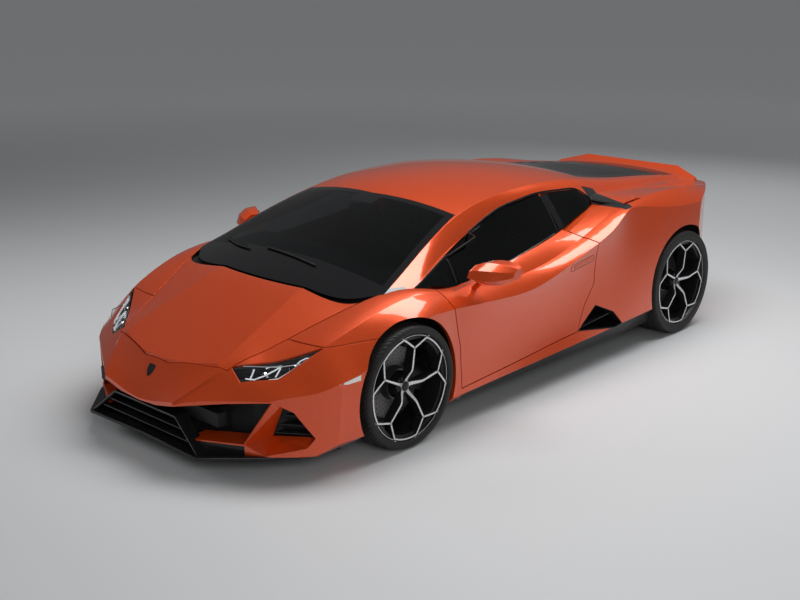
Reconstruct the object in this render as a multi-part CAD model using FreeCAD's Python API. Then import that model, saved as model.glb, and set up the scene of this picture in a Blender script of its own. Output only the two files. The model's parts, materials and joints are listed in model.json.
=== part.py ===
"""Mid-engined two-seat supercar, as the assembly of its real pieces.

Millimetres.  +X is the car's left side, -Y is forwards, +Z is up.  The origin lies on the ground,
in the middle of the car's length.  The painted skin comes from two lofts: the lower body, and the
greenhouse with the engine deck.  Each panel is cut from its loft with the panel's own outline.
"""
import FreeCAD, Part
import math
import os

V = FreeCAD.Vector
doc = FreeCAD.newDocument("Supercar")
sheet = doc.addObject("Spreadsheet::Sheet", "Sizes")

SIZES = (
    ("front_overhang", 990, "front axle to nose"),
    ("wheelbase", 2620, "front axle to rear axle"),
    ("rear_overhang", 910, "rear axle to tail"),
    ("body_width", 1933, "over the rear arches"),
    ("roof_height", 1165, "ground to roof"),
    ("floor_height", 120, "ground to the flat underside"),
    ("front_track", 1668, "between the middles of the front tyres"),
    ("rear_track", 1620, "between the middles of the rear tyres"),
    ("front_tyre_radius", 327.5, "245/30 R20"),
    ("rear_tyre_radius", 345.5, "305/30 R20"),
    ("front_tyre_width", 245, ""),
    ("rear_tyre_width", 305, ""),
    ("rim_radius", 278, "outer lip of a 20 inch rim"),
    ("bead_radius", 258, "bead seat of a 20 inch rim"),
    ("front_arch_gap", 37.5, "tyre to arch lip"),
    ("rear_arch_gap", 39.5, "tyre to arch lip"),
    ("panel_gap", 6, "round the doors and lids"),
    ("skin", 24, "depth of a panel with its frame"),
    ("door_depth", 92, "outer skin to inner trim"),
    ("glass", 6, "thickness of a window"),
    ("disc_radius", 190, "brake disc"),
    ("disc_thickness", 34, ""),
    ("hub_radius", 74, "wheel centre"),
    ("spindle_radius", 26, "hub carrier's spindle"),
    ("bearing_gap", 0.4, "spindle in the wheel, pin in its eye"),
    ("kingpin_inset", 74, "kingpin inboard of the wheel's middle"),
    ("steering_wheel_radius", 178, ""),
    ("seat_spacing", 730, "between the middles of the seats"),
)
for row, (alias, number, note) in enumerate(SIZES, 1):
    sheet.set("A%d" % row, alias)
    sheet.set("B%d" % row, str(number))
    sheet.setAlias("B%d" % row, alias)
    sheet.set("C%d" % row, note)
doc.recompute()


def size(alias):
    """A driving dimension, read from the sheet."""
    return float(sheet.get(alias))


F = -(size("front_overhang") + size("wheelbase") + size("rear_overhang")) / 2 + size("front_overhang")
R = F + size("wheelbase")
W = size("body_width") / 2
TOP = size("roof_height")
LOW = size("floor_height")
GAP = size("panel_gap")
SKIN = size("skin")
FRONT_HUB = V(size("front_track") / 2, F, size("front_tyre_radius"))
REAR_HUB = V(size("rear_track") / 2, R, size("rear_tyre_radius"))
FRONT_ARCH = size("front_tyre_radius") + size("front_arch_gap")
REAR_ARCH = size("rear_tyre_radius") + size("rear_arch_gap")

NODES = []


def node(shape, label):
    """A sub-part whose shape is worked out in code."""
    piece = doc.addObject("Part::Feature", "Piece")
    piece.Label = label
    piece.Shape = shape
    NODES.append(piece)
    return piece


def mirrored(shape):
    """The same shape on the car's other side."""
    return shape.mirror(V(0, 0, 0), V(1, 0, 0))


def both_sides(shape, name):
    node(shape, name + "_left")
    node(mirrored(shape), name + "_right")


def pair(shape):
    return Part.makeCompound([shape, mirrored(shape)])


def box(x0, x1, y0, y1, z0, z1):
    return Part.makeBox(x1 - x0, y1 - y0, z1 - z0, V(x0, y0, z0))


def side_prism(outline, x0, x1):
    """An outline of (y, z) points seen from the side, carried from x0 to x1."""
    points = [V(x0, y, z) for y, z in outline]
    return Part.Face(Part.makePolygon(points + points[:1])).extrude(V(x1 - x0, 0, 0))


def plan_prism(outline, z0, z1):
    """An outline of (x, y) points seen from above, carried from z0 to z1."""
    points = [V(x, y, z0) for x, y in outline]
    return Part.Face(Part.makePolygon(points + points[:1])).extrude(V(0, 0, z1 - z0))


def front_prism(outline, y0, y1):
    """An outline of (x, z) points seen from the front, carried from y0 to y1."""
    points = [V(x, y0, z) for x, z in outline]
    return Part.Face(Part.makePolygon(points + points[:1])).extrude(V(0, y1 - y0, 0))


def rod(start, end, radius):
    """A round bar between two points."""
    return Part.makeCylinder(radius, (end - start).Length, start, end - start)


def disc_about_x(radius, x0, x1, y, z):
    return Part.makeCylinder(radius, x1 - x0, V(x0, y, z), V(1, 0, 0))


def fused(shapes):
    return shapes[0].fuse(shapes[1:]).removeSplitter()


def one_solid(shape):
    """The largest solid of a result, without slivers."""
    return max(shape.Solids, key=lambda solid: solid.Volume)


def line_at(line, y):
    """A feature line, given as rows of (y, x, z), read at y: cubic spans with limited slopes."""
    if y <= line[0][0]:
        return V(line[0][1], y, line[0][2])
    if y >= line[-1][0]:
        return V(line[-1][1], y, line[-1][2])
    i = max(k for k in range(len(line) - 1) if line[k][0] <= y)
    found = [y]
    for part in (1, 2):
        rise = [(line[k + 1][part] - line[k][part]) / (line[k + 1][0] - line[k][0])
                for k in range(len(line) - 1)]
        slope = [rise[0]]
        for k in range(1, len(line) - 1):
            product = rise[k - 1] * rise[k]
            slope.append(2 * product / (rise[k - 1] + rise[k]) if product > 0 else 0.0)
        slope.append(rise[-1])
        step = line[i + 1][0] - line[i][0]
        u = (y - line[i][0]) / step
        found.append((2 * u ** 3 - 3 * u ** 2 + 1) * line[i][part] + (u ** 3 - 2 * u ** 2 + u) * step * slope[i]
                     + (3 * u ** 2 - 2 * u ** 3) * line[i + 1][part] + (u ** 3 - u ** 2) * step * slope[i + 1])
    return V(found[1], y, found[2])


def bow(start, middle, end):
    """A curve from start to end that passes through middle half way."""
    curve = Part.BezierCurve()
    curve.setPoles([start, middle * 2 - (start + end) * 0.5, end])
    return curve.toShape()


def between(start, end, bulge_x=0, bulge_z=0):
    return bow(start, (start + end) * 0.5 + V(bulge_x, 0, bulge_z), end)


def flip(point):
    return V(-point.x, point.y, point.z)


# Feature lines of the lower body, each row (y, x, z).
spine = [(F - 1060, 0, 415), (F - 858, 0, 499), (F - 729, 0, 548), (F - 490, 0, 648), (F - 254, 0, 742),
         (F - 180, 0, 767), (F - 110, 0, 776), (F + 70, 0, 780), (F + 470, 0, 780), (R - 750, 0, 780),
         (R - 450, 0, 850), (R, 0, 905), (R + 450, 0, 905), (R + 750, 0, 885), (R + 980, 0, 860)]
hood_crease = [(F - 1060, 190, 420), (F - 988, 250, 450), (F - 858, 350, 494), (F - 729, 388, 545),
               (F - 254, 339, 738),
               (F - 180, 331, 763), (F - 110, 326, 772), (F + 70, 322, 777), (R - 750, 322, 777),
               (R - 450, 330, 848), (R, 330, 903), (R + 450, 330, 903), (R + 980, 330, 858)]
belt = [(F - 1060, 224, 256), (F - 988, 290, 345), (F - 858, 391, 443), (F - 763, 464, 512), (F - 630, 503, 562),
        (F - 474, 561, 618), (F - 254, 644, 700), (F + 25, 748, 780), (F + 187, W - 166, 784),
        (F + 444, W - 144, 735), (F + 710, W - 151, 748), (F + 957, W - 164, 776), (R - 1350, W - 181, 815),
        (R - 1120, W - 204, 852), (R - 900, W - 241, 898), (R - 687, W - 284, 936), (R - 550, 652, 944),
        (R - 400, 635, 942), (R, 620, 930), (R + 250, 600, 915), (R + 500, 560, 900), (R + 980, 480, 865)]
crown = [(F - 1060, W - 276, 190), (F - 858, W - 274, 303), (F - 742, W - 246, 403), (F - 590, W - 211, 520),
         (F - 456, W - 178, 612), (F - 230, W - 138, 700), (F, W - 121, 757), (F + 187, W - 116, 762),
         (F + 400, W - 104, 732), (F + 710, W - 98, 710), (F + 1005, W - 98, 710), (R - 1300, W - 104, 745),
         (R - 977, W - 116, 825), (R - 780, W - 128, 885), (R - 574, W - 131, 945), (R - 447, W - 121, 958),
         (R - 230, W - 121, 963), (R, W - 126, 958), (R + 250, W - 151, 938), (R + 500, W - 201, 900),
         (R + 750, W - 266, 865), (R + 980, W - 346, 835)]
shoulder = [(F - 1060, W - 34, 150), (F - 858, W - 34, 230), (F - 742, W - 34, 300), (F - 610, W - 34, 365),
            (F - 474, W - 34, 473), (F - 340, W - 15, 503), (F - 180, W - 9, 600), (F, W - 11, 668),
            (F + 187, W - 18, 674), (F + 353, W - 31, 664), (F + 490, W - 26, 656), (F + 710, W - 26, 640),
            (F + 1005, W - 29, 631), (R - 1300, W - 30, 690), (R - 977, W - 30, 780), (R - 780, W - 36, 848),
            (R - 574, W - 64, 925), (R - 447, W - 60, 918), (R - 230, W - 38, 884), (R, W - 28, 862),
            (R + 250, W - 41, 850), (R + 500, W - 86, 830), (R + 750, W - 166, 805), (R + 980, W - 266, 790)]
waist = [(F - 1060, W - 36, 140), (F - 858, W - 36, 200), (F - 742, W - 36, 250), (F - 610, W - 36, 300),
         (F - 474, W - 36, 350), (F - 340, W - 16, 360), (F, W - 11, 400), (F + 187, W - 18, 420),
         (F + 353, W - 36, 434), (F + 490, W - 40, 430), (F + 710, W - 45, 428), (F + 1005, W - 51, 430),
         (R - 1300, W - 51, 455), (R - 977, W - 46, 535), (R - 780, W - 41, 560), (R - 574, W - 31, 580),
         (R - 447, W - 21, 590), (R - 230, W - 6, 600), (R, W - 1, 600), (R + 250, W - 11, 590),
         (R + 500, W - 61, 560), (R + 750, W - 136, 530), (R + 980, W - 236, 520)]
sill = [(F - 1060, W - 41, LOW + 14), (F - 858, W - 41, LOW + 30), (F - 742, W - 41, LOW + 40),
        (F - 610, W - 41, LOW + 45), (F - 474, W - 41, LOW + 45), (F - 340, W - 31, LOW + 45),
        (F, W - 28, LOW + 50), (F + 402, W - 26, LOW + 56), (F + 710, W - 18, LOW + 70),
        (F + 1005, W - 12, LOW + 80), (R - 1300, W - 8, LOW + 90), (R - 977, W - 3, LOW + 102),
        (R - 480, W, LOW + 121), (R, W - 2, LOW + 130), (R + 250, W - 16, LOW + 135), (R + 500, W - 66, LOW + 142),
        (R + 750, W - 136, LOW + 150), (R + 980, W - 236, LOW + 155)]
keel = [(F - 1060, W - 96, LOW), (F - 474, W - 96, LOW), (F, W - 86, LOW),
        (R - 480, W - 66, LOW + 5), (R, W - 66, LOW + 15), (R + 500, W - 126, LOW + 60), (R + 980, W - 286, LOW + 110)]

# Feature lines of the greenhouse and the engine deck.
ridge = [(F - 250, 0, TOP - 445), (F - 180, 0, TOP - 403), (F + 25, 0, TOP - 311), (F + 187, 0, TOP - 246),
         (F + 444, 0, TOP - 150), (F + 670, 0, TOP - 74), (F + 900, 0, TOP - 20), (F + 1120, 0, TOP - 3),
         (F + 1290, 0, TOP), (R - 1141, 0, TOP - 4), (R - 741, 0, TOP - 42), (R - 480, 0, TOP - 86),
         (R - 150, 0, TOP - 138), (R + 250, 0, TOP - 184), (R + 650, 0, TOP - 236), (R + 980, 0, TOP - 270)]
roof_edge = [(F - 250, 800, TOP - 500), (F - 180, 790, TOP - 468), (F + 25, 747, TOP - 380),
             (F + 187, 712, TOP - 318), (F + 444, 658, TOP - 215), (F + 766, 598, TOP - 114),
             (F + 1120, 572, TOP - 62), (R - 1141, 560, TOP - 52), (R - 741, 550, TOP - 79),
             (R - 480, 530, TOP - 122), (R - 150, 500, TOP - 172), (R + 250, 455, TOP - 212),
             (R + 650, 420, TOP - 256), (R + 980, 400, TOP - 286)]
rail = [(F - 250, 815, TOP - 560), (F + 25, 806, TOP - 425), (F + 187, 796, TOP - 376), (F + 444, 716, TOP - 300),
        (F + 786, 642, TOP - 220), (F + 1120, 605, TOP - 131), (R - 1141, 602, TOP - 95), (R - 741, 615, TOP - 130),
        (R - 480, 590, TOP - 172), (R - 150, 556, TOP - 210), (R + 250, 505, TOP - 240),
        (R + 650, 460, TOP - 275), (R + 980, 430, TOP - 305)]
foot = [(F - 250, 825, 560), (F + 25, 820, 690), (F + 187, 812, 755), (F + 444, 828, 705), (F + 710, 822, 722),
        (F + 957, 808, 752), (R - 1350, 792, 790), (R - 1120, 768, 828), (R - 900, 732, 880), (R - 687, 690, 935),
        (R - 550, 660, 915), (R - 400, 640, 900), (R, 600, 880), (R + 500, 540, 850), (R + 980, 480, 820)]

STATIONS = [F - 1060, F - 988, F - 920, F - 858, F - 742, F - 610, F - 474, F - 340, F - 180, F, F + 187, F + 353,
            F + 490, F + 710, F + 1005, R - 1300, R - 977, R - 780, R - 574, R - 447, R - 230, R, R + 250, R + 500,
            R + 750, R + 980]
UPPER_STATIONS = [F - 250, F - 180, F + 25, F + 187, F + 353, F + 570, F + 786, F + 1120, R - 1300, R - 1141,
                  R - 900, R - 741, R - 480, R - 150, R + 250, R + 500, R + 760]


def lower_section(y, inset):
    """A closed section of the lower body at y, its corners on the feature lines or inset from them."""
    middle, crease, edge, top, corner, hollow, foot_line, bottom = [
        line_at(line, y) for line in (spine, hood_crease, belt, crown, shoulder, waist, sill, keel)]
    middle += V(0, 0, -inset)
    crease += V(0, 0, -inset)
    edge += V(-inset * 0.4, 0, -inset * 0.9)
    top += V(-inset * 0.7, 0, -inset * 0.8)
    corner += V(-inset * 0.95, 0, -inset * 0.3)
    hollow += V(-inset, 0, 0)
    foot_line += V(-inset, 0, inset * 0.3)
    bottom += V(-inset, 0, inset)
    side = [between(crease, edge), between(edge, top, 2, 4), between(top, corner, 4, 4),
            bow(corner, hollow, foot_line), between(foot_line, bottom)]
    other = [between(flip(bottom), flip(foot_line)), bow(flip(foot_line), flip(hollow), flip(corner)),
             between(flip(corner), flip(top), -4, 4), between(flip(top), flip(edge), -2, 4),
             between(flip(edge), flip(crease))]
    across = bow(flip(crease), middle, crease)
    return Part.Wire([across] + side + [between(bottom, flip(bottom))] + other)


def upper_section(y, inset):
    """A closed section of the greenhouse at y, its foot inside the lower body."""
    middle, edge, top, base = [line_at(line, y) for line in (ridge, roof_edge, rail, foot)]
    middle += V(0, 0, -inset)
    edge += V(-inset * 0.5, 0, -inset)
    top += V(-inset, 0, -inset * 0.6)
    base += V(-inset, 0, 0)
    root = V(base.x - 40, y, 480 - inset)
    side = [between(edge, top, 3, 3), between(top, base, 6, 2), between(base, root)]
    other = [between(flip(root), flip(base)), between(flip(base), flip(top), -6, 2),
             between(flip(top), flip(edge), -3, 3)]
    return Part.Wire([bow(flip(edge), middle, edge)] + side + [between(root, flip(root))] + other)


def lower_body(inset=0):
    return Part.makeLoft([lower_section(y, inset) for y in STATIONS], True, False)


def greenhouse(inset=0):
    return Part.makeLoft([upper_section(y, inset) for y in UPPER_STATIONS], True, False)


# Ends of the body: the plan of the nose and of the tail, and the slope of the nose.
NOSE = F - size("front_overhang")
TAIL = R + size("rear_overhang")
PANEL_FRONT = TAIL - 165
PANEL_REAR = TAIL - 150


def end_cutter(corners, curve_points, far):
    """What lies outside the plan of the nose or tail, on both sides, from the ground up."""
    left = [V(x, y, 0) for x, y in corners]
    curve = Part.BSplineCurve()
    curve.interpolate([V(x, y, 0) for x, y in curve_points])
    outer = V(W + 400, curve_points[-1][1], 0)
    edges = [Part.makeLine(flip(left[0]), left[0])] + [Part.makeLine(a, b) for a, b in zip(left, left[1:])]
    edges += [curve.toShape(), Part.makeLine(V(*curve_points[-1], 0), outer),
              Part.makeLine(outer, V(outer.x, far, 0))]
    half = Part.Wire(edges[1:])
    line = [Part.makeLine(V(W + 400, far, 0), V(-W - 400, far, 0))]
    face = Part.Face(Part.Wire(Part.sortEdges(edges + line + half.mirror(V(0, 0, 0), V(1, 0, 0)).Edges)[0]))
    return face.extrude(V(0, 0, 1400))


def smooth(points):
    """A smooth curve through the points."""
    curve = Part.BSplineCurve()
    curve.interpolate([V(*point) for point in points])
    return curve.toShape()


nose_cutter = end_cutter([(150, NOSE), (290, NOSE + 2), (W - 246, F - 742)],
                         [(W - 246, F - 742), (W - 116, F - 610), (W - 36, F - 474), (W - 14, F - 340),
                          (W + 4, F - 240)],
                         NOSE - 400)
tail_cutter = end_cutter([(300, TAIL), (540, TAIL - 50)],
                         [(540, TAIL - 50), (655, TAIL - 155), (750, R + 600), (832, R + 450), (900, R + 300),
                          (W + 10, R + 130)],
                         TAIL + 400)

# The nose face rules from the front lid's edge down to the sharp edge over the openings.
LID_EDGE = [(600, F - 722, 537), (451, F - 763, 515), (235, F - 827, 502), (0, F - 862, 499)]
NOSE_EDGE = [(430, NOSE + 10, 354), (290, NOSE + 2, 345), (150, NOSE - 2, 316), (0, NOSE - 2, 307)]


def stretched(first, second, share):
    """The points of the first row moved away from the second row's by a share of their distance."""
    row = [tuple(a + (a - b) * share for a, b in zip(p, q)) for p, q in zip(first, second)]
    return row + [(-x, y, z) for x, y, z in reversed(row[:-1])]


nose_face = Part.makeRuledSurface(smooth(stretched(LID_EDGE, NOSE_EDGE, 0.5)),
                                  smooth(stretched(NOSE_EDGE, LID_EDGE, 0.6)))
nose_slope = nose_face.extrude(V(0, -500, 375))

outside = lower_body().cut([nose_cutter, tail_cutter, nose_slope])
inside = lower_body(SKIN).cut([nose_cutter.translated(V(0, SKIN, 0)), tail_cutter.translated(V(0, -SKIN, 0)),
                               nose_slope.translated(V(0, SKIN * 0.8, -SKIN * 0.6))])
under_nose = lower_body(SKIN + 0.3).cut([nose_cutter.translated(V(0, SKIN + 0.3, 0)),
                                         nose_slope.translated(V(0, SKIN * 0.8 + 0.3, -SKIN * 0.6 - 0.3))])
cabin_outside = greenhouse()
cabin_inside = greenhouse(30)
glass_inside = greenhouse(size("glass"))

# Wheel arches: the lip in the skin, and a wider well behind it for the steered wheels.
WELL = size("front_tyre_radius") + 77
LINER = 6
turning_room = disc_about_x(WELL, 500, W - 120, F, FRONT_HUB.z)
steering_room = disc_about_x(FRONT_ARCH + 11, 500, W - 82, F, FRONT_HUB.z).fuse(turning_room).common(lower_body(12))
under_room = turning_room.common(box(500, W - 120, F - WELL, F + WELL, 0, LOW + 2 * SKIN))
front_well = disc_about_x(FRONT_ARCH, 500, W + 60, F, FRONT_HUB.z).fuse([steering_room, under_room])
rear_well = disc_about_x(REAR_ARCH, 560, W + 60, R, REAR_HUB.z)


def flat_face(outline, z):
    return Part.Face(Part.makePolygon([V(x, y, z) for x, y in outline + outline[:1]]))


def lid(outline, source, source_inside, z0, z1):
    """The part of a skin that lies over a plan outline."""
    return source.common(flat_face(outline, z0).extrude(V(0, 0, z1 - z0))).cut(source_inside)


def opening(outline, z0, z1):
    """The hole for a lid, one panel gap larger all round."""
    return flat_face(outline, z0).makeOffset2D(GAP, 2).extrude(V(0, 0, z1 - z0))


# Front lid, hinged at the cowl.
hood_outline = [(96, F - 862), (451, F - 769), (736, F + 20), (500, F + 20), (316, F - 60), (-316, F - 60),
                (-500, F + 20), (-736, F + 20), (-451, F - 769), (-96, F - 862)]
screen_room = greenhouse(-GAP)
front_lid = lid(hood_outline, outside, inside, 300, 900).cut(screen_room)
hood_opening = opening(hood_outline, 300, 900)
under_hood = lower_body(SKIN + 8)
node(front_lid, "front_lid")

# Engine cover, hinged behind the roof.
COVER_FRONT = R - 540
COVER_REAR = R + 560
engine_outline = [(450, COVER_FRONT), (400, COVER_REAR), (-400, COVER_REAR), (-450, COVER_FRONT)]
COVER_FRAME = 46
LOUVRES = 6
cover_window = [(x - math.copysign(COVER_FRAME, x), y + (COVER_FRAME if y < R else -COVER_FRAME))
                for x, y in engine_outline]
cover_frame = lid(engine_outline, cabin_outside, cabin_inside, 700, 1200).cut(plan_prism(cover_window, 700, 1200))
louvre_room = plan_prism([(x + math.copysign(6, x), y) for x, y in cover_window], 700, 1200)
louvre_skin = cabin_outside.cut(greenhouse(7)).common(louvre_room)
pitch = (COVER_REAR - COVER_FRONT - 2 * COVER_FRAME) / LOUVRES
louvres = []
for k in range(LOUVRES):
    front = COVER_FRONT + COVER_FRAME + k * pitch
    blade = louvre_skin.common(box(-W, W, front - (2 if k == 0 else 10), front + pitch - 3, 700, 1300))
    blade.translate(V(0, 0, -10))
    blade.rotate(V(0, front, line_at(ridge, front).z - 20), V(1, 0, 0), 3.2)
    louvres.append(blade)
node(fused([cover_frame] + louvres), "engine_cover")
engine_opening = opening(engine_outline, 700, 1200)

screen_outline = [(840, F - 250), (800, F - 60), (747, F + 25), (588, F + 745), (0, F + 700), (-588, F + 745),
                  (-747, F + 25), (-800, F - 60), (-840, F - 250)]
node(lid(screen_outline, cabin_outside, glass_inside, 700, 1200).cut(outside), "windshield")
screen_opening = plan_prism(screen_outline, 700, 1200)

# Doors and side windows: a fixed front light, the door's window, and the quarter light.
DOOR_FRONT = F + 413
DOOR_REAR = R - 970
PILLAR = R - 1140
door_outline = [(DOOR_FRONT - 113, 800), (DOOR_FRONT - 60, 663), (DOOR_FRONT - 4, 434), (DOOR_FRONT, 213),
                (R - 1169, 282), (R - 1089, 412), (R - 982, 535), (DOOR_REAR, 782), (R - 1104, 862),
                (R - 1110, 900), (R - 1400, 960), (DOOR_FRONT - 13, 960)]
light_outline = [(F + 187, 786), (F + 444, 700), (F + 957, 740), (PILLAR, 820), (PILLAR, 1066),
                 (F + 1121, 1034), (F + 786, 945)]
quarter_light_outline = [(PILLAR + 10, 830), (R - 690, 940), (R - 687, 972), (R - 780, 1038), (PILLAR + 10, 1063)]


def side_face(outline, x):
    return Part.Face(Part.makePolygon([V(x, y, z) for y, z in outline + outline[:1]]))


all_lights = [side_prism(light_outline, 300, W), side_prism(quarter_light_outline, 300, W)]
all_lights += [mirrored(light) for light in all_lights]
light_hole = side_face(light_outline, 300)
door_window = light_hole.makeOffset2D(-GAP, 2).extrude(V(W - 300, 0, 0)).common(
    side_prism([(F + 524, 600), (F + 545, 910), (F + 545, 1200), (PILLAR, 1200), (PILLAR, 600)], 300, W))
front_light_region = side_prism(
    [(F + 187, 600), (F + 514, 600), (F + 535, 910), (F + 535, 1000), (F + 187, 1000)], 300, W)
window_skin = cabin_outside.cut([glass_inside, outside])
both_sides(window_skin.common(door_window), "door_glass")
node(pair(window_skin.common(all_lights[0]).common(front_light_region).fuse(window_skin.common(all_lights[1]))),
     "side_lights")

door_slab = side_face(door_outline, 500)
door_opening = door_slab.makeOffset2D(GAP, 2).extrude(V(W - 440, 0, 0))
door_block = outside.common(door_slab.extrude(V(W - 440, 0, 0)))
door = one_solid(door_block.cut([lower_body(size("door_depth")), screen_room, front_well]))
window_seal = door_block.common(screen_room).common(
    side_prism([(F + 530, 500), (F + 530, 1000), (PILLAR - GAP, 1000), (PILLAR - GAP, 500)], 500, W)).cut(
    [greenhouse(-0.3), lower_body(30)])
both_sides(door.fuse(window_seal), "door")

roof = cabin_outside.common(fused([box(-W, W, F - 300, R - 690, 700, 1300),
                                   box(-456, 456, R - 700, COVER_FRONT - GAP, 700, 1300)])).cut(
    [cabin_inside, outside, screen_opening] + all_lights)
node(one_solid(roof), "roof")

# Fixed outer panels.
FENDER_GAP = 3
bumper_line = [(F - 500, 615), (F - 456, 616), (F - 140, 634)]
under_line = side_prism([(NOSE - 60, 0), (NOSE - 60, 615)] + bumper_line + [(F - 140, 0)], 200, W + 60)
over_line = side_prism(
    [(y, z + FENDER_GAP) for y, z in [(NOSE - 60, 615)] + bumper_line]
    + [(F - 140 + FENDER_GAP, 634 + FENDER_GAP), (F - 140 + FENDER_GAP, 0), (NOSE - 60, 0)], 200, W + 60)
fender_plan = plan_prism([(434, F - 778), (787, F - 454), (W + 60, F - 454), (W + 60, DOOR_FRONT), (200, DOOR_FRONT),
                          (200, F - 230)], LOW + SKIN + 1, 1000)
bumper_limit = plan_prism([(465 - 0.2 * 324, F - 753 - 0.2 * 297), (789, F - 456), (W + 60, F - 457),
                           (W + 60, DOOR_FRONT), (200, DOOR_FRONT), (200, F - 230)], LOW, 1000)
fender = outside.common(fender_plan).cut(
    [inside, hood_opening, cabin_outside, front_well, door_opening, over_line])
both_sides(one_solid(fender), "fender")

# The tail end of the quarter, the sills, the black skirts and the side intakes.
skirt_line = [(DOOR_FRONT, 176), (R - 842, 227), (R - 480, 241), (R - 300, 248)]
intake_outline = [(R - 1160, 284), (R - 971, 400), (R - 792, 321), (R - 711, 231), (R - 763, 215), (R - 1158, 279)]
INTAKE_FLOOR = 830
INTAKE_WALL = 4
intake_hole = side_prism(intake_outline, INTAKE_FLOOR - INTAKE_WALL, W + 60)
intake_room = side_face(intake_outline, INTAKE_FLOOR).makeOffset2D(-INTAKE_WALL, 2).extrude(V(W, 0, 0))
intake_fin = side_prism([(R - 1150, 288), (R - 830, 314), (R - 830, 320), (R - 1150, 294)], INTAKE_FLOOR - 2, W)
intake_tray = intake_hole.common(lower_body(6)).cut(intake_room).fuse(
    intake_fin.common(lower_body(10)).common(intake_hole))
below_quarter = side_prism([(R - 1300, 0), (R - 1300, 276), (R - 1166, 276)] + skirt_line[1:] + [(R - 300, 0)],
                           0, W + 60)
# Buttress from the roof rail to the rear arch, and the air slot under its front edge.
BUTTRESS_END = R + 260
buttress_dip = [(R - 230, 0, 0), (R, 0, 2), (R + 130, 0, 10), (BUTTRESS_END, 0, 42)]
SLOT_LIP = 12
SLOT_FLOOR = 8


def buttress_section(y, drop=0):
    """The buttress at y; with a drop, what lies under its top skin, and more to both sides."""
    down = V(0, 0, -drop - line_at(buttress_dip, y).z)
    top, corner = line_at(rail, y) + down, line_at(crown, y) + down
    corners = [top + V(-34 - drop, 0, -14), corner + V(drop - 10, 0, -4), corner + V(drop - 20, 0, -60 - drop),
               top + V(-34 - drop, 0, -90 - drop)]
    return Part.makePolygon(corners + corners[:1])


buttress_plan = plan_prism([(560, R - 775), (650, R - 700), (862, R - 524), (W, R - 440), (W, BUTTRESS_END),
                            (380, BUTTRESS_END), (380, R - 775)], 700, 1200)
buttress_rows = [R - 790, R - 574, R - 400, R - 230, R, R + 130, BUTTRESS_END]
buttress = Part.makeLoft([buttress_section(y) for y in buttress_rows], True, False)
under_lip = Part.makeLoft([buttress_section(y, SLOT_LIP) for y in buttress_rows], True, False)
slot_lip = buttress.cut(under_lip).common(buttress_plan)
buttress = buttress.common(buttress_plan).cut(tail_cutter)
slot_rows = [(V(648, R - 700, 950), V(850, R - 600, 956)), (V(648, R - 600, 930), V(858, R - 514, 897)),
             (V(648, R - 470, 925), V(858, R - 400, 886))]


def columns(rows, height):
    """What stands over a strip of quads, given as pairs of points."""
    found = []
    for (a, b), (c, d) in zip(rows, rows[1:]):
        for corners in ([a, b, d], [a, d, c]):
            found.append(Part.Face(Part.makePolygon(corners + corners[:1])).extrude(V(0, 0, height)))
    return fused(found)


slot_room = columns(slot_rows, 200)
slot_floor = slot_room.translated(V(0, 0, -SLOT_FLOOR)).cut(slot_room).common(outside)
slot_room = slot_room.cut([slot_lip, cabin_outside])

quarter = outside.common(box(0, W + 60, R - 1200, PANEL_FRONT, LOW + 20, 1300)).fuse(
    cabin_outside.common(box(0, W + 60, R - 690, R + 700, 700, 1300)).cut(
        box(0, 459, R - 700, COVER_FRONT, 700, 1300)))
quarter = quarter.fuse(buttress).cut(
    [slot_room, roof, inside, cabin_inside, engine_opening, rear_well, door_opening, all_lights[1], intake_hole,
     box(-1, W + 60, R + 400, TAIL + 200, 0, 600), box(-1, 430, COVER_REAR + GAP, TAIL, 700, 1200),
     box(-1, 570, R - 1300, TAIL, 0, 300), below_quarter])
quarter = one_solid(quarter.fuse(slot_floor.cut([cabin_outside, roof])))
both_sides(quarter, "quarter")

SILL_INSIDE = 640
sill_panel = outside.common(side_prism([(DOOR_FRONT, 176), (DOOR_FRONT, 207), (R - 1166, 276), (R - 842, 227)],
                                       SILL_INSIDE, W + 60)).cut([front_well, rear_well, intake_hole])
posts = [box(SILL_INSIDE, W, DOOR_FRONT + 3, DOOR_FRONT + 43, 180, 640),
         box(SILL_INSIDE, W, R - 1090, R - 1050, 236, 780)]
inner_door = lower_body(size("door_depth") + 0.3)
roof_parts = [cabin_outside.cut(cabin_inside)] + all_lights[:2]
skirt_side = side_prism([(DOOR_FRONT, LOW)] + skirt_line + [(R - 300, LOW)], SILL_INSIDE, W + 60)
skirt = lower_body(4).common(skirt_side).cut([front_well, rear_well, intake_hole])
sill_beam = one_solid(
    fused([sill_panel] + [post.common(inner_door) for post in posts]).cut(roof_parts + [skirt, intake_hole]))
node(pair(sill_beam), "sills")
skirt = one_solid(skirt.fuse(intake_tray))
node(pair(skirt), "side_skirts")

lamp_outline = [(465, F - 753), (543, F - 770), (691, F - 658), (789, F - 456)]
lamp_slab = flat_face(lamp_outline, 300).extrude(V(0, 0, 600))
lamp_hole = plan_prism([(458, F - 746)] + lamp_outline + [(782, F - 449)], 300, 900)
mouth_edge = [(0, 299), (150, 308), (290, 337), (517, 374), (684, 394), (735, 398), (804, 349), (869, 213),
              (843, 164), (689, 124), (603, 173), (603, 60)]
mouth = front_prism(mouth_edge + [(-x, z) for x, z in reversed(mouth_edge[1:])], NOSE - 60, F - 505)
LIP = 8
lip_points = {"inner": V(390, F - 934, 178), "root": V(342, F - 933, 180), "back": V(350, F - 843, 190),
              "fin_back": V(527, F - 735, 190), "corner": V(603, F - 810, 173), "fold": V(648, F - 664, 190),
              "low": V(689, F - 760, 124), "turn": V(843, F - 619, 164), "outer": V(871, F - 584, 213),
              "rear": V(828, F - 570, 205), "fin_top": V(734, F - 733, 402), "fin_rear": V(764, F - 680, 402)}


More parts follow.
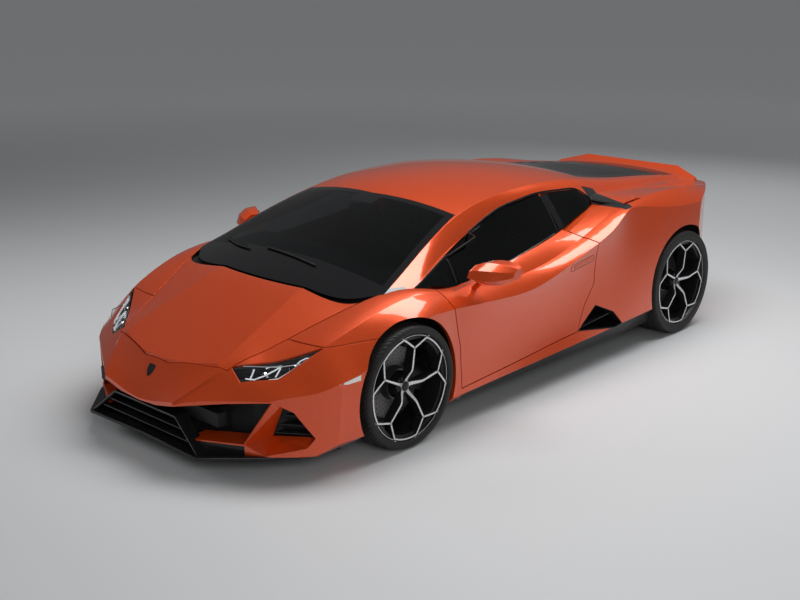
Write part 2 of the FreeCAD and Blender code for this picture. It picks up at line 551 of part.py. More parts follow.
def sheet_of(corners, shift):
    """A thin plate over three named corners, as thick as the shift."""
    points = [lip_points[name] for name in corners]
    return Part.Face(Part.makePolygon(points + points[:1])).extrude(shift)


DOWN = V(0, 0, -LIP)
lip = fused([sheet_of(corners, DOWN) for corners in (
    ("inner", "root", "back"), ("inner", "back", "corner"), ("back", "fin_back", "corner"),
    ("fin_back", "fold", "corner"), ("corner", "fold", "low"), ("low", "fold", "turn"),
    ("fold", "rear", "turn"), ("turn", "rear", "outer"))])
fin = fused([sheet_of(corners, V(-LIP, 0, 0)) for corners in (
    ("corner", "fin_top", "fin_rear"), ("corner", "fin_rear", "fold"))])
bumper_zone = outside.common(box(-W - 60, W + 60, NOSE - 60, F - 140, LOW, 900))
upper_zone = bumper_zone.cut([bumper_limit, mirrored(bumper_limit)])
lower_zone = bumper_zone.common(fused([under_line, mirrored(under_line)]))
bumper_skin = upper_zone.fuse(lower_zone).cut(
    [inside, hood_opening, front_well, mirrored(front_well), mouth, lamp_hole, mirrored(lamp_hole)])
front_bumper = bumper_skin.fuse([piece.common(outside) for piece in (lip, mirrored(lip), fin, mirrored(fin))])
node(one_solid(front_bumper), "front_bumper")

# Splitter with the frame and bars of the middle opening.
SPLITTER = 16
splitter_plan = [(0, NOSE + 14), (458, NOSE), (690, F - 775), (800, F - 635), (862, F - 420), (840, F - 400),
                 (0, F - 400)]
splitter_half = plan_prism(splitter_plan, LOW - SPLITTER, LOW)
DAM = 10
dam = plan_prism([(404, F - 926), (603, F - 802), (689, F - 752), (684, F - 752 + DAM), (598, F - 802 + DAM),
                  (399, F - 926 + DAM)], LOW, 172)
A_FOOT = V(456, NOSE + 14, LOW - 6)
A_TOP = V(258, NOSE + 32, 265)
A_DEPTH = V(0, 70, 0)
A_BAR = 11


def bar(start, end, width):
    """A flat bar between two points, seen from the front, as deep as the frame of the opening."""
    across = (end - start).cross(V(0, 1, 0))
    across.normalize()
    across *= width / 2
    corners = [start + across, end + across, end - across, start - across]
    return Part.Face(Part.makePolygon(corners + corners[:1])).extrude(A_DEPTH)


leg = bar(A_FOOT, A_TOP + V(-2, 0, 3), A_BAR)
middle_bars = [bar(flip(A_TOP), A_TOP, A_BAR)]
for share in (0.36, 0.68):
    point = A_TOP + (A_FOOT - A_TOP) * share + V(0, 14, 0)
    middle_bars.append(bar(flip(point), point, 7))
splitter = fused([splitter_half, mirrored(splitter_half), dam, mirrored(dam), leg, mirrored(leg)] + middle_bars)
node(one_solid(splitter.cut([lip, mirrored(lip)])), "front_splitter")

# Black walls behind the openings, with louvres in the outer ones, and the bowls behind the lamps.
wall_line = [(0, F - 790), (330, F - 790), (560, F - 705), (700, F - 610), (840, F - 515)]
WALL = 8
wall_plan = wall_line + [(x, y + WALL) for x, y in reversed(wall_line)]
wall_half = plan_prism(wall_plan, LOW, 480)
louvre_plates = [plan_prism([(x, F - 690 + (x - 668) * 0.67), (840, F - 575), (840, F - 511), (700, F - 606),
                             (x, F - 606)], z, z + 5) for x, z in ((680, 218), (700, 262), (722, 309))]
lamp_face = flat_face(lamp_outline, 300)
BOWL_WALL = 4
bowl_room = lamp_face.makeOffset2D(-BOWL_WALL, 2).extrude(V(0, 0, 600)).cut(lower_body(56))
bowl = one_solid(lamp_slab.common(lower_body(6.3)).cut([lower_body(62), bowl_room]))
# Rear: bumper with its meshed openings and diffuser, the black panel over it, lamps and spoiler.
PIPE = V(120, 0, 490)
pipe_room = rod(PIPE + V(0, R + 500, 0), PIPE + V(0, TAIL + 100, 0), 60)
BUMPER_TOP = 600
SHELF = 12
mesh_outline = [(-470, 572), (-440, 420), (-200, 372), (200, 372), (440, 420), (470, 572)]
diffuser_outline = [(-580, 100), (-520, 325), (520, 325), (580, 100)]
rear_bumper = outside.common(box(-W - 60, W + 60, R + 400, TAIL + 60, LOW + 40, BUMPER_TOP)).cut(
    [inside, rear_well, mirrored(rear_well), front_prism(mesh_outline, PANEL_REAR, TAIL + 60),
     front_prism(diffuser_outline, COVER_REAR, TAIL + 60), below_quarter, mirrored(below_quarter)])
shelf = outside.common(box(-W, W, PANEL_REAR, TAIL + 60, BUMPER_TOP - SHELF, BUMPER_TOP))
rear_bumper = one_solid(rear_bumper.fuse(shelf))
node(rear_bumper, "rear_bumper")
DIFFUSER_X = 512
diffuser_side = [(R + 400, 152), (TAIL - 40, 285), (TAIL - 40, 297), (R + 400, 164)]
diffuser_fins = [side_prism([(R + 480, 160), (TAIL - 60, 170), (TAIL - 40, 290), (R + 480, 172)], x - 4, x + 4)
                 for x in (-380, -190, 190, 380)]
diffuser = fused([side_prism(diffuser_side, -DIFFUSER_X, DIFFUSER_X)] + diffuser_fins)
node(one_solid(diffuser.cut([rear_bumper])), "rear_diffuser")

SPOILER_ROWS = (
    (390, [(TAIL - 300, 888), (TAIL - 140, 922), (TAIL - 78, 947), (TAIL - 84, 925), (TAIL - 140, 872),
           (TAIL - 300, 862)]),
    (590, [(TAIL - 262, 868), (TAIL - 190, 882), (TAIL - 154, 892), (TAIL - 158, 876), (TAIL - 190, 846),
           (TAIL - 262, 842)]))
half_rows = [Part.makePolygon([V(x, y, z) for y, z in row + row[:1]]) for x, row in SPOILER_ROWS]
wing = Part.makeLoft(half_rows, True, True)
wing_middle = side_prism(SPOILER_ROWS[0][1], -390, 390)
spoiler = fused([wing, mirrored(wing), wing_middle])
tail_block = outside.fuse(cabin_outside)
panel = tail_block.common(box(-W, W, PANEL_FRONT, PANEL_REAR, 420, 930)).cut(
    [pipe_room, mirrored(pipe_room), rear_bumper, spoiler])
deck = cabin_outside.cut(greenhouse(60)).common(box(-427, 427, COVER_REAR + GAP, PANEL_FRONT + 5, 700, 1100)).cut(
    [spoiler, quarter, mirrored(quarter)])
plate_holes = [Part.makeCylinder(3, 40, V(x, PANEL_FRONT - 5, z), V(0, 1, 0))
               for x in (-145, 145) for z in (630, 700)]
tail_panel = one_solid(panel.fuse(deck).cut(plate_holes))
node(tail_panel, "tail_panel")
node(one_solid(spoiler.cut([tail_panel, quarter, mirrored(quarter)])), "spoiler")
tail_lamp = outside.common(box(380, W, PANEL_REAR, PANEL_REAR + 32, 735, 800))
node(pair(one_solid(tail_lamp.cut([spoiler]))), "tail_lamps")

# Wheel wells, with openings for the axles.
well_shell = disc_about_x(WELL + LINER, 494, W - 20, F, FRONT_HUB.z).cut(
    [disc_about_x(WELL, 500, W, F, FRONT_HUB.z), box(480, 510, F - 170, F + 170, 0, FRONT_HUB.z + 220),
     box(400, W, F - 500, F + 500, 0, LOW + 25)])
front_liner = one_solid(well_shell.common(inside).cut([hood_opening.cut(under_hood), door_opening]))
rear_shell = disc_about_x(REAR_ARCH + 12 + LINER, 554, W - 20, R, REAR_HUB.z).cut(
    [disc_about_x(REAR_ARCH + 12, 560, W, R, REAR_HUB.z), box(540, 570, R - 170, R + 170, 0, REAR_HUB.z + 200),
     box(400, W, R - 500, R + 500, 0, LOW + 60)])
node(pair(one_solid(rear_shell.common(inside).cut([sill_beam, skirt]))), "rear_liners")

# Tub: floor, bulkheads and posts.
BULKHEAD = F + 395
SCREEN_WALL = R - 690
tub = fused([box(-640, 640, BULKHEAD, SCREEN_WALL, LOW, LOW + 30),
             box(-494, 494, BULKHEAD, BULKHEAD + 14, LOW, 700),
             front_prism([(-640, LOW), (640, LOW), (640, 800), (545, 985), (430, 985), (430, 850), (-430, 850),
                          (-430, 985), (-545, 985), (-640, 800)], SCREEN_WALL - 30, SCREEN_WALL)])
tunnel = box(-120, 120, BULKHEAD + 14, SCREEN_WALL - 30, LOW + 30, 420)
node(tub.fuse(tunnel), "tub")
node(box(-430, 430, SCREEN_WALL - 20, SCREEN_WALL - 14, 850, 985), "rear_glass")

# Front frame: rails, spring towers, crash beam and lid rests, and the luggage tub between the wheels.
TRUNK_WALL = 12
trunk_block = box(-480, 480, NOSE + 330, F - 180, 220, 640)
trunk_room = box(-480 + TRUNK_WALL, 480 - TRUNK_WALL, NOSE + 330 + TRUNK_WALL, F - 180 - TRUNK_WALL,
                 220 + TRUNK_WALL, 800)
frame_rail = box(380, 440, NOSE + 215, BULKHEAD, 150, 220)
riser = fused([box(380, 440, NOSE + 110, NOSE + 275, 255, 325), box(380, 440, NOSE + 215, NOSE + 275, 150, 325)])
tower = box(380, 440, F - 130, F + 130, 220, 500)
lid_rest = fused([Part.makeCylinder(22, 420, V(496, NOSE + 420, 220)),
                  box(430, 522, NOSE + 400, NOSE + 440, 200, 240)])
rails = [frame_rail, riser, tower, lid_rest.common(lower_body(SKIN + 0.3))]
tow_thread = Part.makeCylinder(8, 40, V(-470, NOSE + 110, 290), V(0, 1, 0))
front_frame = fused(rails + [mirrored(rail) for rail in rails] + [box(-500, 500, NOSE + 110, NOSE + 160, 255, 325)])
front_frame = front_frame.cut(tow_thread)
node(front_frame, "front_frame")
trunk_tub = one_solid(trunk_block.cut(trunk_room).common(under_hood).cut([front_frame]))
node(trunk_tub, "front_trunk")

grille_wall = fused([wall_half, mirrored(wall_half)] + louvre_plates + [mirrored(plate) for plate in louvre_plates])
grille_wall = one_solid(
    grille_wall.common(under_nose).cut([front_frame, trunk_tub, lip, mirrored(lip), fin, mirrored(fin)]))
node(Part.makeCompound([front_liner, mirrored(front_liner), bowl, mirrored(bowl), grille_wall]), "front_liners")

rear_rail = fused([box(430, 500, SCREEN_WALL, R + 130, 200, 270), box(430, 500, R - 130, R + 130, 270, 510),
                   box(430, 500, R + 130, TAIL - 200, 270, 340)])
rear_rail = rear_rail.cut(rod(V(400, R, REAR_HUB.z), V(520, R, REAR_HUB.z), 28))
cover_rest = fused([box(430, 470, R + 415, R + 440, 340, 860), box(0, 470, R + 415, R + 440, 830, 860),
                    Part.makeCylinder(12, 400, V(370, R + 428, 850)).common(greenhouse(30.3))])
rear_frame = fused([rear_rail, mirrored(rear_rail), cover_rest, mirrored(cover_rest),
                    box(-500, 500, TAIL - 200, PANEL_FRONT, 270, 340), box(430, 470, SCREEN_WALL, SCREEN_WALL + 40, 270, 800),
                    box(-470, -430, SCREEN_WALL, SCREEN_WALL + 40, 270, 800)])
node(rear_frame, "rear_frame")
engine = fused([box(-260, 260, R - 600, R + 20, 180, 640), box(-160, 160, R + 20, R + 420, 220, 520),
                box(-430, 430, R - 320, R - 260, 205, 255)])
node(engine, "engine_block")
pipe = rod(PIPE + V(0, TAIL - 300, 0), PIPE + V(0, TAIL - 20, 0), 52).cut(
    rod(PIPE + V(0, TAIL - 280, 0), PIPE + V(0, TAIL, 0), 46))
node(fused([pipe, mirrored(pipe), box(-440, 440, TAIL - 460, TAIL - 290, 340.3, 560)]), "exhaust")

# Interior.
dash_profile = [(F - 60, 745), (F + 350, 800), (F + 480, 800), (F + 520, 760), (F + 470, 640), (F + 420, 560),
                (BULKHEAD + 14, 520), (BULKHEAD + 14, 700), (BULKHEAD, 700), (F - 60, 700)]
dash = side_prism(dash_profile, -760, 760).common(greenhouse(46)).cut(
    [disc_about_x(WELL + LINER, 480, W, F, FRONT_HUB.z), disc_about_x(WELL + LINER, -W, -480, F, FRONT_HUB.z),
     tub, sill_beam, mirrored(sill_beam), skirt, mirrored(skirt)])
seat_profile = [(F + 640, 240), (F + 640, 330), (F + 700, 380), (F + 1080, 330), (F + 1330, 900), (F + 1440, 900),
                (F + 1200, 240)]
seat_x = size("seat_spacing") / 2
seat = fused([side_prism(seat_profile, seat_x - 240, seat_x + 240),
              box(seat_x - 190, seat_x - 150, F + 700, F + 1150, LOW + 30, 260),
              box(seat_x + 150, seat_x + 190, F + 700, F + 1150, LOW + 30, 260)])
both_sides(seat, "seat")

WHEEL_CENTRE = V(seat_x, F + 700, 690)
COLUMN = V(0, -math.cos(math.radians(22)), -math.sin(math.radians(22)))
steering_radius = size("steering_wheel_radius")
rim_ring = Part.makeTorus(steering_radius, 15, WHEEL_CENTRE, COLUMN)
spokes = [rod(WHEEL_CENTRE, WHEEL_CENTRE + direction * steering_radius, 12) for direction in
          (V(1, 0, 0), V(-1, 0, 0), V(0, -COLUMN.z, COLUMN.y))]
hub = Part.makeCylinder(45, 45.7, WHEEL_CENTRE - COLUMN * 20, COLUMN)
node(fused([rim_ring, hub] + spokes), "steering_wheel")
column = Part.makeCylinder(24, 268, WHEEL_CENTRE + COLUMN * 26, COLUMN)
node(fused([one_solid(dash), column]), "dash")

# Mirrors on the doors.
MIRROR_ROWS = (
    (918, [(F + 462, 806), (F + 478, 838), (F + 530, 862), (F + 590, 858), (F + 606, 826), (F + 560, 792),
           (F + 500, 786)]),
    (965, [(F + 470, 800), (F + 488, 848), (F + 548, 878), (F + 622, 878), (F + 642, 832), (F + 590, 784),
           (F + 510, 776)]),
    (1020, [(F + 496, 798), (F + 516, 848), (F + 574, 880), (F + 652, 882), (F + 674, 830), (F + 620, 774),
            (F + 540, 768)]),
    (1075, [(F + 548, 802), (F + 566, 842), (F + 614, 868), (F + 676, 870), (F + 692, 826), (F + 648, 780),
            (F + 584, 774)]),
    (1108, [(F + 612, 812), (F + 622, 836), (F + 648, 850), (F + 684, 850), (F + 692, 826), (F + 668, 798),
            (F + 630, 796)]))
mirror_rows = [Part.makePolygon([V(x, y, z) for y, z in row + row[:1]]) for x, row in MIRROR_ROWS]
mirror_head = Part.makeLoft(mirror_rows, True, False)
mirror = mirror_head.fuse(rod(V(840, F + 575, 690), V(965, F + 585, 806), 15)).cut(outside)
both_sides(one_solid(mirror), "mirror")

# Headlamps.
lamp_skin = outside.common(lamp_slab).cut(lower_body(6))
node(pair(one_solid(lamp_skin)), "headlamps")


# Wheels: the rim with its brake disc, and the tyre, both about an axis along x.
def turned(profile, x, y, z):
    """A ring turned from (along, radius) points, along measured outwards from the wheel's middle."""
    points = [V(x + a, y, z + r) for a, r in profile]
    return Part.Face(Part.makePolygon(points + points[:1])).revolve(V(x, y, z), V(1, 0, 0), 360)


SPOKE_LEAN = -8.5


def rim_shape(hub_point, width):
    """Barrel, hub, five forked spokes and the brake disc."""
    x, y, z = hub_point
    flange = size("rim_radius")
    seat = size("bead_radius")
    half = width / 2
    barrel = turned([(half, flange), (half - 8, flange), (half - 12, seat), (12 - half, seat), (8 - half, flange),
                     (-half, flange), (-half, flange - 10), (4 - half, seat - 16), (half - 60, seat - 20),
                     (half - 12, seat - 6), (half, flange - 10)], x, y, z)
    hub_plane = half - 40.5
    blade = [(13, 20), (8.5, 93), (8, 211.2), (102.6, 256.8), (97, 272), (0, 225)]
    outline = blade + [(-a, r) for a, r in reversed(blade[:-1])]
    arms = []
    for k in range(5):
        rows = []
        for depth, grow in ((hub_plane - 21, 1.5), (hub_plane + 41, 1.0)):
            row = [V(x + depth, y + a * grow, z + r) for a, r in outline]
            rows.append(Part.makePolygon(row + row[:1]))
        arm = Part.makeLoft(rows, True, True)
        arm.rotate(V(x, y, z), V(1, 0, 0), SPOKE_LEAN + 72 * k)
        arms.append(arm)
    limits = turned([(hub_plane - 25, 28), (hub_plane, 28), (hub_plane, 34), (hub_plane + 40, 93),
                     (hub_plane + 40, flange - 4), (half - 7, flange - 4), (half - 11.5, seat - 3),
                     (hub_plane - 1, seat - 3), (hub_plane - 25, 150)], x, y, z)
    ring = turned([(half - 12.5, seat - 2), (half - 12.5, seat - 12), (half, flange - 12), (half, flange - 1),
                   (half - 7, flange - 1)], x, y, z)
    cap = turned([(63, 0), (hub_plane + 2, 0), (hub_plane + 2, 26), (hub_plane - 2, 31), (63, 31)], x, y, z)
    face = fused([fused(arms).common(limits), cap,
                  turned([(20, 28), (hub_plane, 28), (hub_plane, 36), (hub_plane - 11, 62), (20, 70)], x, y, z)])
    bore = size("spindle_radius") + size("bearing_gap")
    hub_body = turned([(-50, bore), (66, bore), (66, 60), (40, size("hub_radius")), (-50, size("hub_radius"))], x, y, z)
    disc = turned([(-50, 60), (-50, size("disc_radius")), (-50 + size("disc_thickness"), size("disc_radius")),
                   (-50 + size("disc_thickness"), 60)], x, y, z)
    return fused([barrel, ring, face, hub_body, disc])


def tyre_shape(hub_point, width, radius):
    x, y, z = hub_point
    seat = size("bead_radius") + 0.3
    half = width / 2
    flange = size("rim_radius")
    wall = [(half - 24, seat), (half - 20, flange + 0.4), (half - 8, flange + 3), (half, radius - 34),
            (half - 4, radius - 14), (half - 26, radius - 3)]
    profile = wall + [(0, radius)] + [(-a, r) for a, r in reversed(wall)]
    return turned(profile, x, y, z)


def caliper(hub_point, side):
    """A brake caliper over the disc, on the +y side of the axle where side is 1."""
    x, y, z = hub_point
    ring = turned([(-86, 40), (-86, 212), (18, 212), (18, 105), (-8, 105), (-8, 198), (-56, 198), (-56, 40)], x, y, z)
    wedge = side_prism([(y, z - 5), (y + side * 230, z - 110), (y + side * 230, z + 150), (y, z + 20)], x - 120, x + 40)
    return ring.common(wedge)


def carrier(hub_point, side):
    """Upright with its spindle, ball joint bosses and caliper."""
    x, y, z = hub_point
    inset = size("kingpin_inset")
    upright = front_prism([(x - inset - 26, z - 109.7), (x - inset + 18, z - 109.7), (x - inset + 18, z + 129.7),
                           (x - inset - 26, z + 129.7)], y - 42, y + 42)
    spindle = disc_about_x(size("spindle_radius"), x - 60, x + 60, y, z)
    return fused([upright, spindle, caliper(hub_point, side)])


RIM_LIP = 11
for name, hub_point, width, radius, side in (
        ("front", FRONT_HUB, size("front_tyre_width"), size("front_tyre_radius"), 1),
        ("rear", REAR_HUB, size("rear_tyre_width"), size("rear_tyre_radius"), -1)):
    both_sides(rim_shape(hub_point, width - 2 * RIM_LIP), name + "_rim")
    both_sides(tyre_shape(hub_point, width, radius), name + "_tyre")
    if name == "front":
        both_sides(carrier(hub_point, side), "front_carrier")
    else:
        node(pair(carrier(hub_point, side)), "rear_carriers")


def wishbone(frame_x, ball, spread):
    legs = [rod(V(frame_x, ball.y + s * spread, ball.z), ball, 13) for s in (-1, 1)]
    return fused(legs + [Part.makeCylinder(20, 26, V(ball.x, ball.y, ball.z - 13))])


front_pin = V(FRONT_HUB.x - size("kingpin_inset"), F, FRONT_HUB.z)
front_arms = [wishbone(445, front_pin + V(0, 0, 143), 110), wishbone(445, front_pin + V(0, 0, -123), 110)]
node(Part.makeCompound(front_arms + [mirrored(arm) for arm in front_arms]), "front_suspension")
rear_pin = V(REAR_HUB.x - size("kingpin_inset"), R, REAR_HUB.z)
shaft = rod(V(260, R, REAR_HUB.z), V(REAR_HUB.x - size("kingpin_inset") - 26, R, REAR_HUB.z), 20)
rear_arms = [wishbone(507, rear_pin + V(0, 0, 143), 110), wishbone(507, rear_pin + V(0, 0, -123), 110), shaft]
node(Part.makeCompound(rear_arms + [mirrored(arm) for arm in rear_arms]), "rear_suspension")

doc.recompute()
for piece in NODES:
    solids = piece.Shape.Solids
    if "Invalid" in piece.State or "Error" in piece.State or not solids or not piece.Shape.isValid():
        raise ValueError("%s has no valid shape" % piece.Label)
    print(piece.Label, len(solids), round(piece.Shape.Volume / 1e6, 2))
os.makedirs("parts", exist_ok=True)
for piece in NODES:
    piece.Shape.exportStep("parts/%s.step" % piece.Label)
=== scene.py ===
"""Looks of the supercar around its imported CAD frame: finishes, fine pieces, camera and light."""

import json
import math

import bmesh
import bpy
import numpy as np
from mathutils import Matrix, Vector
from mathutils.bvhtree import BVHTree


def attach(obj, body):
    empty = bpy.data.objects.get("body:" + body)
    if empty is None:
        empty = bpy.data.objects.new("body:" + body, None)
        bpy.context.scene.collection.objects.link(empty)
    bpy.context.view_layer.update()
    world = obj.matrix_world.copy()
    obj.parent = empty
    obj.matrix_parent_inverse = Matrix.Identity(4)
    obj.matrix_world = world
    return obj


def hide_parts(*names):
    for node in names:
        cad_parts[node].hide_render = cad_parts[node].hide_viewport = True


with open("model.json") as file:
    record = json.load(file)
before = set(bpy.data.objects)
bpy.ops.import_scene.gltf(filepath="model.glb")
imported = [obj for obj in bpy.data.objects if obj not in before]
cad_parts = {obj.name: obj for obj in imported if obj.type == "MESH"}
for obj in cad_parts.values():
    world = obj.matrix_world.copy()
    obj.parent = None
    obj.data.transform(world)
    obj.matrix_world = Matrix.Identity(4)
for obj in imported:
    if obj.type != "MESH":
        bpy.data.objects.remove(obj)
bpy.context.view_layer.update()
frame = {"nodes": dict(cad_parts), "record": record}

# The car's main sizes in metres, as the CAD source has them.
AXLE = {"front": -1.270, "rear": 1.350}
NOSE = -2.260
FLOOR = 0.120
HUB = {"front": (0.834, AXLE["front"], 0.3275), "rear": (0.810, AXLE["rear"], 0.3455)}
HALF_RIM = {"front": 0.1115, "rear": 0.1415}
HALF_TYRE = {"front": 0.1225, "rear": 0.1525}
FLANGE = 0.278
BEAD = 0.258
SPOKE_LEAN = math.radians(-8.5)


class Link:
    """A shader socket that takes part in plain arithmetic."""

    def __init__(self, kit, socket):
        self.kit = kit
        self.socket = socket

    def math(self, operation, *values):
        return self.kit.node("ShaderNodeMath", {"operation": operation}, 0, *([self] + list(values)))

    def __add__(self, other):
        return self.math("ADD", other)

    def __sub__(self, other):
        return self.math("SUBTRACT", other)

    def __mul__(self, other):
        return self.math("MULTIPLY", other)

    def __truediv__(self, other):
        return self.math("DIVIDE", other)

    def __radd__(self, other):
        return self.math("ADD", other)

    def __rmul__(self, other):
        return self.math("MULTIPLY", other)

    def __rsub__(self, other):
        return self.math("MULTIPLY", -1.0).math("ADD", other)

    def __lt__(self, other):
        return self.math("LESS_THAN", other)

    def __gt__(self, other):
        return self.math("GREATER_THAN", other)

    def __abs__(self):
        return self.math("ABSOLUTE")

    def either(self, other):
        return self.math("MAXIMUM", other)


class Kit:
    """One material's node tree, with a single way to add any node."""

    def __init__(self, name):
        self.material = bpy.data.materials.new(name)
        self.material.use_nodes = True
        self.tree = self.material.node_tree
        self.shader = self.tree.nodes["Principled BSDF"]
        self.out = self.tree.nodes["Material Output"]

    def node(self, kind, settings=None, output=0, *inputs, **named):
        """Adds a node: its settings first, then the values or links of its sockets."""
        made = self.tree.nodes.new(kind)
        for key, value in (settings or {}).items():
            setattr(made, key, value)
        for index, value in list(enumerate(inputs)) + list(named.items()):
            key = index if isinstance(index, int) else index.replace("_", " ")
            self.feed(made.inputs[key], value)
        return Link(self, made.outputs[output])

    def feed(self, socket, value):
        if isinstance(value, Link):
            self.tree.links.new(value.socket, socket)
        elif value is not None:
            socket.default_value = value

    def set(self, **sockets):
        for name, value in sockets.items():
            self.feed(self.shader.inputs[name.replace("_", " ")], value)
        return self

    def place(self):
        """Object coordinates, which are the car's own coordinates in metres."""
        return self.node("ShaderNodeTexCoord", None, "Object")

    def axes(self):
        made = self.node("ShaderNodeSeparateXYZ", None, 0, self.place())
        return [Link(self, made.socket.node.outputs[k]) for k in range(3)]

    def noise(self, scale, detail=2.0):
        return self.node("ShaderNodeTexNoise", None, 0, self.place(), Scale=scale, Detail=detail)

    def blend(self, factor, first, second):
        """Mixes two colours."""
        made = self.node("ShaderNodeMix", {"data_type": "RGBA"}, 2)
        sockets = made.socket.node.inputs
        for index, value in ((0, factor), (6, first), (7, second)):
            self.feed(sockets[index], value)
        return made

    def rounded(self, radius):
        """Normals that round off the sharp edges of a panel."""
        return self.node("ShaderNodeBevel", {"samples": 4}, 0, Radius=radius)

    def bump(self, height, strength=0.2, distance=0.001, normal=None):
        relief = self.node("ShaderNodeBump", None, 0, Strength=strength, Distance=distance, Height=height,
                           Normal=normal)
        return self.set(Normal=relief)


def rgb(red, green, blue):
    return (red, green, blue, 1.0)


def spread(value, low, high):
    """A 0 to 1 value carried to the range low to high."""
    return value * (high - low) + low


DEEP_ORANGE = rgb(0.70, 0.052, 0.004)
LIGHT_ORANGE = rgb(0.97, 0.140, 0.008)
# Near black: printed borders, black trim, and the painted shade on the floor of the quarter's slot.
NEAR_BLACK = rgb(0.008, 0.008, 0.009)


def paint(name="pearl_orange", black_where=None):
    """Pearl orange under clear coat: fine flakes vary the colour, and edges are rounded a little."""
    kit = Kit(name)
    flake = kit.node("ShaderNodeTexVoronoi", {"feature": "F1"}, "Color", kit.place(), Scale=900.0)
    bright = kit.node("ShaderNodeSeparateColor", None, 0, flake)
    colour = kit.blend(bright * 0.5, DEEP_ORANGE, LIGHT_ORANGE)
    shine = 0.42
    # Where the mask is 1 the paint turns black: black trim on the roof, and painted shade on the floor of the
    # quarter's slot.
    if black_where:
        mask = black_where(*kit.axes())
        colour = kit.blend(mask, colour, NEAR_BLACK)
        shine = (1.0 - mask) * shine
    kit.set(Base_Color=colour, Metallic=shine, Roughness=spread(bright, 0.27, 0.36), Coat_Weight=1.0,
            Coat_Roughness=0.03, IOR=1.5)
    return kit.bump(kit.noise(420.0), 0.02, 0.0002, kit.rounded(0.003)).material


def gloss_black(name="gloss_black"):
    """Black lacquer or smooth plastic."""
    kit = Kit(name)
    kit.set(Base_Color=kit.blend(kit.noise(30.0), NEAR_BLACK, rgb(0.016, 0.016, 0.017)),
            Roughness=spread(kit.noise(60.0), 0.10, 0.18), Specular_IOR_Level=0.3)
    return kit.bump(kit.noise(300.0), 0.02, 0.0002, kit.rounded(0.002)).material


def grained_black():
    """Black moulded plastic with a fine grain."""
    kit = Kit("grained_black")
    grain = kit.noise(900.0, 4.0)
    kit.set(Base_Color=kit.blend(grain, rgb(0.010, 0.010, 0.011), rgb(0.022, 0.022, 0.023)),
            Roughness=spread(grain, 0.5, 0.68))
    return kit.bump(grain, 0.3, 0.0006).material


def glass(name, tint, black_where=None, roughness=0.0):
    """Tinted glass; where the mask is 1 it is the printed black border."""
    kit = Kit(name)
    smear = kit.noise(6.0, 3.0)
    kit.set(Base_Color=tint, Transmission_Weight=1.0, Roughness=spread(smear, roughness, roughness + 0.015),
            IOR=1.45, Specular_IOR_Level=0.2)
    if black_where:
        border = kit.node("ShaderNodeBsdfPrincipled", None, 0, Base_Color=NEAR_BLACK, Roughness=0.07,
                          Coat_Weight=0.3)
        joined = kit.node("ShaderNodeMixShader", None, 0, black_where(*kit.axes()),
                          Link(kit, kit.shader.outputs[0]), border)
        kit.tree.links.new(joined.socket, kit.out.inputs["Surface"])
    return kit.material


def rubber():
    """Tyre rubber, a little paler in patches."""
    kit = Kit("tyre_rubber")
    grain = kit.noise(500.0, 4.0)
    kit.set(Base_Color=kit.blend(kit.noise(14.0, 3.0), rgb(0.013, 0.013, 0.013), rgb(0.024, 0.023, 0.022)),
            Roughness=spread(grain, 0.55, 0.75))
    return kit.bump(grain, 0.25, 0.0006).material


def metal(name, dark, light, low, high, scale=40.0, metallic=1.0):
    """A metal whose colour and roughness run from dark to light and from low to high with one noise."""
    kit = Kit(name)
    grain = kit.noise(scale, 4.0)
    kit.set(Base_Color=kit.blend(grain, dark, light), Metallic=metallic, Roughness=spread(grain, low, high))
    return kit.bump(kit.noise(scale * 12.0), 0.06, 0.0003).material


def leather(name, dark, light):
    """Leather with a cell grain."""
    kit = Kit(name)
    cells = kit.node("ShaderNodeTexVoronoi", {"feature": "DISTANCE_TO_EDGE"}, 0, kit.place(), Scale=420.0)
    kit.set(Base_Color=kit.blend(kit.noise(20.0), dark, light), Roughness=spread(kit.noise(60.0), 0.5, 0.65))
    return kit.bump(cells, 0.35, 0.0008).material


def weave():
    """Carbon twill: two sets of threads that pass over each other, as bands along x and y."""
    kit = Kit("carbon_twill")
    x, y, z = kit.axes()
    band = ((x + y) * 125.0).math("FRACT") > 0.5
    kit.set(Base_Color=kit.blend(band, rgb(0.012, 0.012, 0.013), rgb(0.035, 0.035, 0.037)),
            Roughness=spread(band, 0.25, 0.4), Coat_Weight=0.5, Coat_Roughness=0.05)
    return kit.material


HOLES, ROW_PITCH, FIRST_ROW, HOLE_RADIUS = 28.0, 0.018, 0.100, 0.0034


def drilled(end):
    """A brake disc's face: rings of holes about the axle, painted near black as the holes' shade, over fine
    turned lines.
    """
    kit = Kit("drilled_disc_" + end)
    x, y, z = kit.axes()
    across, up = y - HUB[end][1], z - HUB[end][2]
    reach = (across * across + up * up).math("SQRT")
    turn = up.math("ARCTAN2", across) * (HOLES / math.tau)
    row = (reach - FIRST_ROW) / ROW_PITCH
    ring = row.math("FLOOR")
    along = ((turn + ring * 0.37).math("FRACT") - 0.5) * (math.tau / HOLES) * reach
    outward = (row.math("FRACT") - 0.5) * ROW_PITCH
    hole_shade = ((along * along + outward * outward).math("SQRT") < HOLE_RADIUS) * (reach > FIRST_ROW)
    lines = (reach * 900.0).math("FRACT")
    # Near black where a hole is: painted shade inside the holes, which the disc's mesh does not cut.
    kit.set(Base_Color=kit.blend(hole_shade, rgb(0.16, 0.155, 0.15), rgb(0.004, 0.004, 0.004)), Metallic=0.85,
            Roughness=spread(lines, 0.3, 0.42))
    return kit.material


def light_bar(name, colour, strength):
    """A lit bar: a milky body whose glow is a little uneven."""
    kit = Kit(name)
    dimmer = rgb(*[0.92 * part for part in colour[:3]])
    kit.set(Base_Color=colour, Emission_Color=kit.blend(kit.noise(60.0), colour, dimmer),
            Emission_Strength=strength, Roughness=0.25, Coat_Weight=0.5)
    return kit.material


